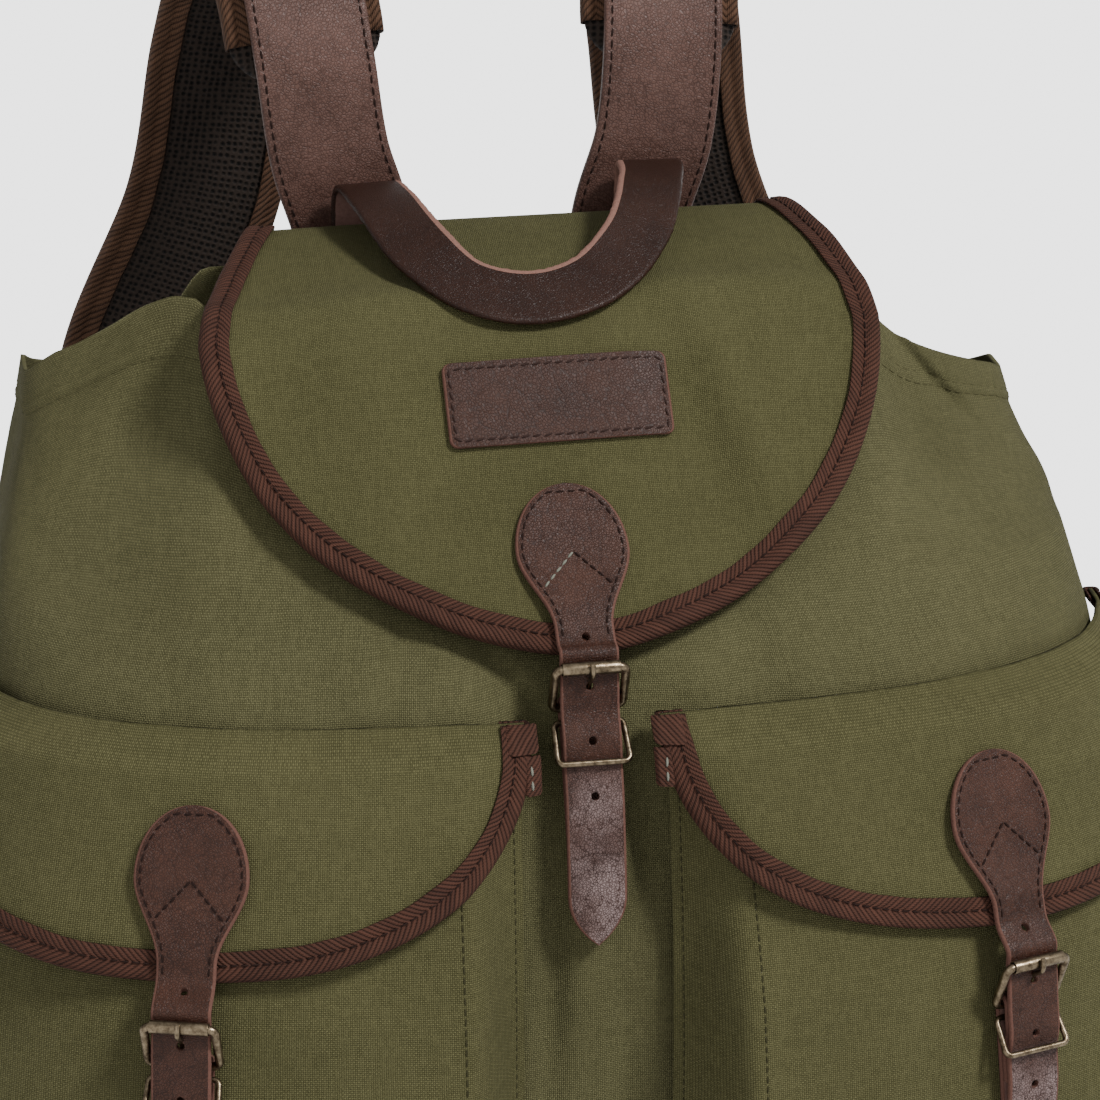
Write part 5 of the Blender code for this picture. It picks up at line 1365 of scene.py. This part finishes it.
def make_lid_fastening():
    seat = lid_seat()
    canvas_lift = LID_CANVAS / 2 + GAP + STRAP_LEATHER / 2 + 0.0001
    tape_lift = canvas_lift + TAPE + LID_TAPE_GAP + 0.0003
    over_lid = []
    for from_edge, lift in ((0.0585, canvas_lift), (0.045, canvas_lift), (0.030, canvas_lift + 0.0002),
                            (0.014, tape_lift), (0.001, tape_lift)):
        point = lid_place(0.0, LID_LENGTH - from_edge, lift)
        over_lid.append((seat.out_of(point), float(point[2])))
    fasten(seat, over_lid, "lid")


# Pockets and flaps


def pocket_depth(height):
    return np.interp(height, [row[0] for row in POCKET_DEPTHS], [row[1] for row in POCKET_DEPTHS])


def pocket_out(across, height):
    """How far the pocket's cloth stands off the body: nothing at its sewn edges, more in its middle."""
    from_edge = np.minimum(across, POCKET_WIDTH - across)
    rise = smoothstep(from_edge / POCKET_GUSSET)
    foot = smoothstep((height - POCKET_FOOT) / POCKET_FOOT_RISE)
    return POCKET_ON_BODY + pocket_depth(height) * rise * foot


def pocket_relief(across, along, seed):
    """A pocket's soft folds: across from its middle, along from its foot."""
    fold = 0.0022 * bump(across + 0.052 - (along - 0.06) * 0.10, 0, 0.006) * bump(along, 0.055, 0.05)
    fold = fold - 0.0014 * bump(across + 0.064 - (along - 0.06) * 0.10, 0, 0.008) * bump(along, 0.055, 0.05)
    slack = 0.0010 * np.sin(across * 62 + along * 24 + seed) * bump(along, 0.10, 0.07)
    return (fold + slack) * smoothstep((POCKET_WIDTH / 2 - 0.018 - np.abs(across)) / 0.015)


def make_pocket(side_name):
    side = SIDES[side_name]
    top = POCKET_TOP - POCKET_FOOT

    def place(across, along, off):
        from_inner = across + POCKET_WIDTH / 2
        height = POCKET_FOOT + along
        out = pocket_out(from_inner, height) + CANVAS / 2 + off + pocket_relief(across, along, side * 1.3)
        return on_body(side * (POCKET_INNER_EDGE + from_inner) / FRONT_ARC, height, out)

    plain = box_width(POCKET_WIDTH, 0.0, top + POCKET_CORNER, POCKET_CORNER)
    alongs = np.concatenate([POCKET_CORNER * (1 - np.cos(np.linspace(0, math.pi / 2, 15)))[:-1],
                             np.linspace(POCKET_CORNER, top, 66)])
    mesh = strip(place, alongs, plain, CANVAS, 101)
    made = piece("pocket_" + side_name + "_canvas", mesh, "canvas", ["pocket_" + side_name])
    set_materials(made, "canvas", "canvas", "canvas")
    lines = []
    edge = POCKET_WIDTH / 2
    for inset in (0.0030, 0.0225):
        x, low = edge - inset, inset
        bend = max(POCKET_CORNER - inset, 0.004)
        corner = [(x - bend * (1 - math.sin(turn)), low + bend * (1 - math.cos(turn)))
                  for turn in np.linspace(math.pi / 2, 0, 9)]
        if inset < 0.01:
            route = [(x, top - 0.004)] + corner + [(-across, along) for across, along in corner[::-1]]
            lines.append(trace(place, route + [(-x, top - 0.004)], CANVAS / 2, 700))
        else:
            lines.append(trace(place, [(x, top - 0.004), (x, 0.024)], CANVAS / 2, 300))
            lines.append(trace(place, [(-x, top - 0.004), (-x, 0.024)], CANVAS / 2, 300))
    stitches("pocket_" + side_name + "_stitches", lines, "pocket")


def flap_half_width(along):
    share = min(along / FLAP_LENGTH, 1.0)
    return FLAP_HALF_WIDTH * (1 - share ** FLAP_FULLNESS) ** FLAP_ROUNDNESS


def flap_place(side):
    def place(across, along, off):
        height = FLAP_SEAM - along * 0.955
        reach = smoothstep(along / FLAP_REACH)
        depth = pocket_depth(np.minimum(height, POCKET_TOP))
        rise = smoothstep((POCKET_WIDTH / 2 + FLAP_OVERHANG - np.abs(across)) / FLAP_GUSSET)
        full = POCKET_ON_BODY + depth * rise + FLAP_CLEARANCE
        seam = POCKET_ON_BODY + FLAP_END_LIFT * smoothstep((np.abs(across) - 0.088) / 0.012)
        wave = 0.0012 * np.sin(across * 70 + side) * smoothstep((along - 0.02) / 0.04)
        wave = wave + 0.0010 * bump(along - 0.030 - across * 0.05, 0, 0.005) * bump(across, 0.03 * side, 0.05)
        out = lerp(seam, full, reach) + CANVAS / 2 + off + wave
        centre = POCKET_INNER_EDGE + POCKET_WIDTH / 2
        return on_body(side * (centre + across) / FRONT_ARC, height, out)

    return place


def make_flap(side_name):
    place = flap_place(SIDES[side_name])
    near_tip = FLAP_LENGTH - 0.00001 - (FLAP_LENGTH - 0.030) * (1 - np.linspace(0, 1, 34)) ** 1.8
    alongs = np.concatenate([np.linspace(0, near_tip[0], 22)[:-1], near_tip])
    made = piece("flap_" + side_name + "_canvas", strip(place, alongs, flap_half_width, CANVAS, 91), "canvas",
                 ["flap_" + side_name])
    set_materials(made, "canvas", "canvas", "canvas")
    row = bind_edge("flap_tape_" + side_name, flap_half_width, 0.0, FLAP_LENGTH, place, CANVAS, FLAP_TAPE_GAP,
                    ["flap_binding_" + side_name], wave=0.0005)
    make_flap_corner(side_name, place)
    stitches("flap_tape_stitches_" + side_name, [row], "tape")


def make_flap_corner(side_name, place):
    """The tape's end at a flap's inner corner: folded over on itself, with a sewn end hanging below."""
    over_tape = CANVAS / 2 + FLAP_TAPE_GAP + TAPE * 2 + 0.0002
    folds = (("fold", -FLAP_HALF_WIDTH + 0.0016, 0.0108, -0.0006, 0.0074, over_tape),
             ("end", -FLAP_HALF_WIDTH - 0.0012, 0.0062, 0.0085, 0.0210, over_tape - 0.0012))
    for label, middle, width, start, end, lift in folds:

        def laid(across, along, off, middle=middle, lift=lift):
            curl = 0.0012 * smoothstep((np.abs(across) - width * 0.3) / (width * 0.2))
            return place(across + middle, along, off + lift - curl)

        mesh = strip(laid, box_alongs(start, end, 0.001, 0.0008), box_width(width, start, end, 0.001), TAPE * 1.3, 15)
        made = piece("flap_tape_" + label + "_" + side_name, mesh, "twill_tape")
        set_materials(made, "fold_tape", "fold_tape", "fold_tape")
    line = trace(laid, [(0.0006, 0.0105), (0.0004, 0.0200)], TAPE * 0.65, 60)
    stitches("flap_tape_end_stitches_" + side_name, [line], "tape_end")


def make_pocket_fastening(side_name):
    side = SIDES[side_name]
    seat = pocket_seat(side)
    place = flap_place(side)
    canvas_lift = CANVAS / 2 + GAP + STRAP_LEATHER / 2 + 0.0005
    tape_lift = canvas_lift + TAPE + FLAP_TAPE_GAP
    over_flap = []
    for along, lift in ((0.019, canvas_lift), (0.040, canvas_lift), (0.054, canvas_lift + 0.0004),
                        (0.066, tape_lift), (0.0755, tape_lift)):
        point = place(-POCKET_STRAP_INWARD, np.float64(along), lift)
        over_flap.append((seat.out_of(point), float(point[2])))
    fasten(seat, over_flap, "pocket_" + side_name)


# Handle and shoulder straps


def make_handle():
    rows = smooth_rows(HANDLE_ROUTE, 20)
    ribbon = Ribbon(rows[:, :3], rows[:, 3:])
    end = ribbon.length()
    plain = box_width(HANDLE_WIDTH, 0, end, 0.002)

    def half_width(along):
        return plain(along) * (1 + 0.035 * noise.noise(Vector((along * 60, 0.5, 2.0))))

    def place(across, along, off):
        frayed = 0.00035 * np.array([noise.noise(Vector((float(place_at) * 500, float(place_off) * 900, 7.0)))
                                     for place_at, place_off in zip(np.ravel(along), np.ravel(off))])
        edge = smoothstep((np.abs(across) - HANDLE_WIDTH * 0.42) / 0.0008)
        return ribbon.place(across + np.sign(across) * edge * frayed.reshape(np.shape(across)), along, off)

    mesh = strip(place, box_alongs(0, end, 0.002, 0.0012), half_width, HANDLE_LEATHER, HANDLE_STEPS, 0.5)
    around = 2 * HANDLE_STEPS + 10
    for face in mesh.polygons:
        facet = face.index % around
        if len(face.vertices) == 4 and (facet == HANDLE_STEPS - 2 or facet >= around - 6):
            face.material_index = 1 if facet == HANDLE_STEPS - 2 else 0
    made = piece("carry_handle_leather", mesh, "leather", ["carry_handle"])
    set_materials(made, "smooth_leather", "frayed_edge", "flesh_side")


def side_ribbon(side, route, per_span):
    rows = smooth_rows(route, per_span)
    points = rows * np.array([side, 1, 1])
    return Ribbon(points, np.tile((-1, 0, 0), (len(rows), 1)))


PAD_EDGE_SHARE = 0.58


def pad_squeeze(share):
    """How thick a pad is at a share of the way from its middle to its edge."""
    return 1 - (1 - PAD_EDGE_SHARE) * smoothstep((share - 0.62) / 0.38)


def crowned(ribbon, half):
    """Places on a padded strap: fuller along its middle, and softly quilted."""

    def place(across, along, off):
        share = np.clip(np.abs(across) / half, 0, 1)
        squeeze = pad_squeeze(share)
        ripple = 1 + 0.06 * np.sin(along * 160) * (1 - share)
        return ribbon.place(across, along, off * squeeze * ripple)

    return place


def make_shoulder_strap(side_name):
    side = SIDES[side_name]
    leather = side_ribbon(side, LEATHER_ROUTE, 16)
    end = leather.length()
    mesh = strip(leather.place, box_alongs(0, end, 0.004, 0.0015), box_width(STRAP_LEATHER_WIDTH, 0, end, 0.004),
                 SHOULDER_LEATHER, 25, 0.35)
    made = piece("strap_leather_" + side_name + "_part", mesh, "leather", ["strap_leather_" + side_name])
    set_materials(made, "shoulder_leather", "shoulder_leather", "shoulder_leather")
    inset = STRAP_LEATHER_WIDTH / 2 - 0.0026
    for face, off in (("front", SHOULDER_LEATHER / 2), ("back", -SHOULDER_LEATHER / 2)):
        lines = [trace(leather.place, [(edge, 0.002), (edge, end - 0.002)], off, 300) for edge in (-inset, inset)]
        stitches("strap_leather_" + side_name + "_stitches_" + face, lines, "shoulder")
    pad = side_ribbon(side, PAD_ROUTE, 16)
    length = pad.length()
    half_width = box_width(PAD_WIDTH, 0, length, 0.014)
    place = crowned(pad, PAD_WIDTH / 2)
    mesh = strip(place, box_alongs(0, length, 0.014, 0.0035), half_width, PAD_THICKNESS, 21, 0.45)
    made = piece("strap_pad_" + side_name + "_mesh", mesh, "spacer_mesh", ["strap_pad_" + side_name])
    set_materials(made, "spacer", "spacer", "spacer")
    edge_half = PAD_THICKNESS / 2 * PAD_EDGE_SHARE

    def on_pad(across, along, off):
        fuller = PAD_THICKNESS / 2 * pad_squeeze(np.clip(np.abs(across) / (PAD_WIDTH / 2), 0, 1)) - edge_half
        outside = smoothstep((np.abs(off) - edge_half * 0.8) / (edge_half * 0.2))
        return pad.place(across, along, off + np.sign(off) * fuller * outside)

    bind_edge("strap_binding_" + side_name, half_width, 0.012, length, on_pad, 2 * edge_half, 0.0003, [],
              wave=0.0003, spacing=0.004, slot="webbing", finish="edge_tape")
    make_slider(side_name)


def make_slider(side_name):
    """The metal loop between pad and webbing, the webbing that hangs from it, and its tab at the foot."""
    side = SIDES[side_name]
    flip = np.array([side, 1, 1])
    pad_end = np.array(PAD_ROUTE[-1])
    run = unit(np.array(WEBBING_ROUTE[0]) - pad_end)
    start = pad_end + run * 0.0180
    width = SLIDER_WIDTH - SLIDER_WIRE
    points = [(start + run * down + np.array([across, 0, 0])) * flip
              for across, down in ring_outline(width, width, SLIDER_HEIGHT, 0.0024)]
    wire("strap_slider_" + side_name + "_wire", points, SLIDER_WIRE, "antique_brass", ["strap_slider_" + side_name])
    radius = SLIDER_WIRE / 2 + GAP + 0.0002 + WEBBING / 2
    off = unit(np.cross(-run, (1, 0, 0)))
    legs = [start - run * LOOP_TAIL + off * radius * 0.62, start - run * 0.006 + off * radius]
    for turn in np.radians(np.linspace(90, -90, 13)):
        legs.append(start + off * radius * math.sin(turn) + run * radius * math.cos(turn))
    legs += [start - run * 0.006 - off * radius, start - run * LOOP_TAIL - off * radius * 0.62]
    loop = Ribbon(np.array(legs) * flip, np.tile((-1, 0, 0), (len(legs), 1)))
    webbing_strip(loop, "strap_loop_" + side_name)
    make_webbing(side_name, start + run * SLIDER_HEIGHT, run, radius)


def webbing_strip(ribbon, node):
    end = ribbon.length()
    mesh = strip(ribbon.place, box_alongs(0, end, 0.001, 0.0020), box_width(WEBBING_WIDTH, 0, end, 0.001), WEBBING,
                 15)
    made = piece(node + "_tape", mesh, "webbing", [node])
    set_materials(made, "webbing", "webbing", "webbing")


def on_back(side, x, height, out):
    """A point off the back panel, with the level direction across the panel there."""
    level = SKIN[int(round(height / HEIGHT_STEP)), AROUND_STEPS:, 0]
    around = 1 + float(np.interp(-x, -level, np.linspace(0, 1, len(level))))
    point = on_body(side * around, height, out)
    across = unit(on_body(side * (around + 0.02), height, out) - point)
    return point, across * (-1 if across[0] > 0 else 1)


def make_webbing(side_name, bar, run, radius):
    side = SIDES[side_name]
    flip = np.array([side, 1, 1])
    off = unit(np.cross(run, (1, 0, 0)))
    points = [bar + run * 0.020 + off * (radius + 0.0006), bar + run * 0.006 + off * radius]
    for turn in np.radians(np.linspace(90, -90, 13)):
        points.append(bar + off * radius * math.sin(turn) - run * radius * math.cos(turn))
    points.append(bar + run * 0.008 - off * radius)
    points = [point * flip for point in points]
    acrosses = [np.array([-1, 0, 0])] * len(points)
    start = (bar + run * 0.022 - off * radius) * flip
    route = [(*start, -1, 0, 0)] + [(side * x, y, z, -1, 0, 0) for x, y, z in WEBBING_ROUTE[1:]]
    for x, height, off_back in WEBBING_FOOT:
        point, level = on_back(side, x, height, off_back + WEBBING / 2)
        route.append((*point, *level))
    for row in smooth_rows(route, 12):
        points.append(row[:3])
        acrosses.append(row[3:])
    webbing_strip(Ribbon(points, acrosses), "strap_webbing_" + side_name)
    make_tab(side_name)


def make_tab(side_name):
    """The leather tab over the webbing's lower end, on the foot of the back panel."""
    side = SIDES[side_name]
    width, height = TAB_SIZE
    lift = WEBBING_OFF_BACK + WEBBING + GAP + ANCHOR_LEATHER / 2 + 0.0006
    rows = [on_back(side, WEBBING_FOOT[-1][0], TAB_FOOT + along, lift) for along in np.linspace(0, height, 12)]
    ribbon = Ribbon([point for point, _ in rows], [across for _, across in rows])
    end = ribbon.length()

    def half_width(along):
        into = min(along, 0.002)
        square = width / 2 - 0.002 + math.sqrt(max(0.002 ** 2 - (0.002 - into) ** 2, 0))
        taper = lerp(width / 2, width * 0.30, max(along - height * 0.35, 0) / (end - height * 0.35))
        return min(square, taper)

    mesh = strip(ribbon.place, np.linspace(0, end, 30), half_width, ANCHOR_LEATHER, 21)
    made = piece("strap_tab_" + side_name + "_leather", mesh, "leather", ["strap_tab_" + side_name])
    set_materials(made, "leather", "raw_edge", "flesh_side")
    corner = [(-0.018, 0.004), (0.018, 0.004), (0.018, 0.012), (0.0105, 0.030), (-0.0105, 0.030), (-0.018, 0.012),
              (-0.018, 0.004)]
    lines = [trace(ribbon.place, corner, ANCHOR_LEATHER / 2, 300)]
    stitches("strap_tab_" + side_name + "_stitches", lines, "tab")


def make_hem_stitches():
    lines = []
    for down, (start, end) in itertools.product((0.0110, HEM_HEIGHT), ((-1.98, -1.03), (-0.97, 0.97), (1.03, 1.98))):
        around = np.linspace(start, end, 400)
        height = np.full_like(around, BODY_TOP - down)
        points = body_surface(around, height, cloth_out(around, height))
        above = body_surface(around, height, cloth_out(around, height) + 0.001)
        lines.append((points, unit(above - points)))
    stitches("hem_stitches", lines, "hem")


# Everything, then the floor, lights and camera


def make_rucksack():
    make_body()
    make_hem_stitches()
    make_lid()
    make_patch()
    make_lid_fastening()
    make_handle()
    for side_name in SIDES:
        make_pocket(side_name)
        make_flap(side_name)
        make_pocket_fastening(side_name)
        make_shoulder_strap(side_name)


def make_floor():
    bpy.ops.object.select_all(action="DESELECT")
    bpy.ops.mesh.primitive_plane_add(size=60, location=(0, 0, 0))
    floor = bpy.context.object
    floor.name = "studio_floor"
    made, tree, shader = new_material("pale_floor", 1.0, specular=0.0)
    shader.inputs["Base Color"].default_value = (FLOOR_TONE, FLOOR_TONE, FLOOR_TONE, 1)
    shader.inputs["Emission Color"].default_value = (1, 1, 1, 1)
    seen = add(tree, "LightPath").outputs["Is Camera Ray"]
    tree.links.new(calc(tree, "MULTIPLY", seen, FLOOR_GLOW), shader.inputs["Emission Strength"])
    floor.data.materials.append(made)


def add_sun(name, place, power, angle):
    """A soft sun that shines from a place to the middle of the bag."""
    bpy.ops.object.select_all(action="DESELECT")
    bpy.ops.object.light_add(type="SUN", location=place)
    light = bpy.context.object
    light.name = name
    light.data.energy = power
    light.data.angle = math.radians(angle)
    light.rotation_euler = (Vector(LIT_MIDDLE) - Vector(place)).to_track_quat("-Z", "Y").to_euler()


def make_lights():
    world = bpy.data.worlds.new("studio")
    bpy.context.scene.world = world
    world.use_nodes = True
    world.node_tree.nodes["Background"].inputs[0].default_value = (1, 1, 1, 1)
    world.node_tree.nodes["Background"].inputs[1].default_value = WORLD_LIGHT
    add_sun("key_above_right", KEY_PLACE, KEY_POWER, KEY_ANGLE)
    add_sun("fill_front_left", FILL_PLACE, FILL_POWER, FILL_ANGLE)


FLOOR_TONE = 0.80
FLOOR_GLOW = 1.7
WORLD_LIGHT = 0.54
LIT_MIDDLE = (0, -0.05, 0.22)
KEY_PLACE = (0.95, -1.00, 1.75)
KEY_POWER = 4.15
KEY_ANGLE = 13
FILL_PLACE = (-1.0, -1.6, 0.9)
FILL_POWER = 0.75
FILL_ANGLE = 60

CAMERA_TARGET = Vector((-0.0057, -0.0792, 0.2944))
CAMERA_DISTANCE = 2.0
CAMERA_LEFT = math.radians(11)
CAMERA_UP = math.radians(19)
VIEW_WIDTH = 0.3667
SENSOR = 36.0


def make_camera():
    out = Vector((-math.sin(CAMERA_LEFT) * math.cos(CAMERA_UP), -math.cos(CAMERA_LEFT) * math.cos(CAMERA_UP),
                  math.sin(CAMERA_UP)))
    data = bpy.data.cameras.new("camera")
    data.sensor_width = SENSOR
    data.lens = SENSOR * CAMERA_DISTANCE / VIEW_WIDTH
    camera = bpy.data.objects.new("camera", data)
    bpy.context.scene.collection.objects.link(camera)
    camera.location = CAMERA_TARGET + out * CAMERA_DISTANCE
    camera.rotation_euler = (-out).to_track_quat("-Z", "Y").to_euler()
    bpy.context.scene.camera = camera


make_rucksack()
make_floor()
make_lights()
make_camera()
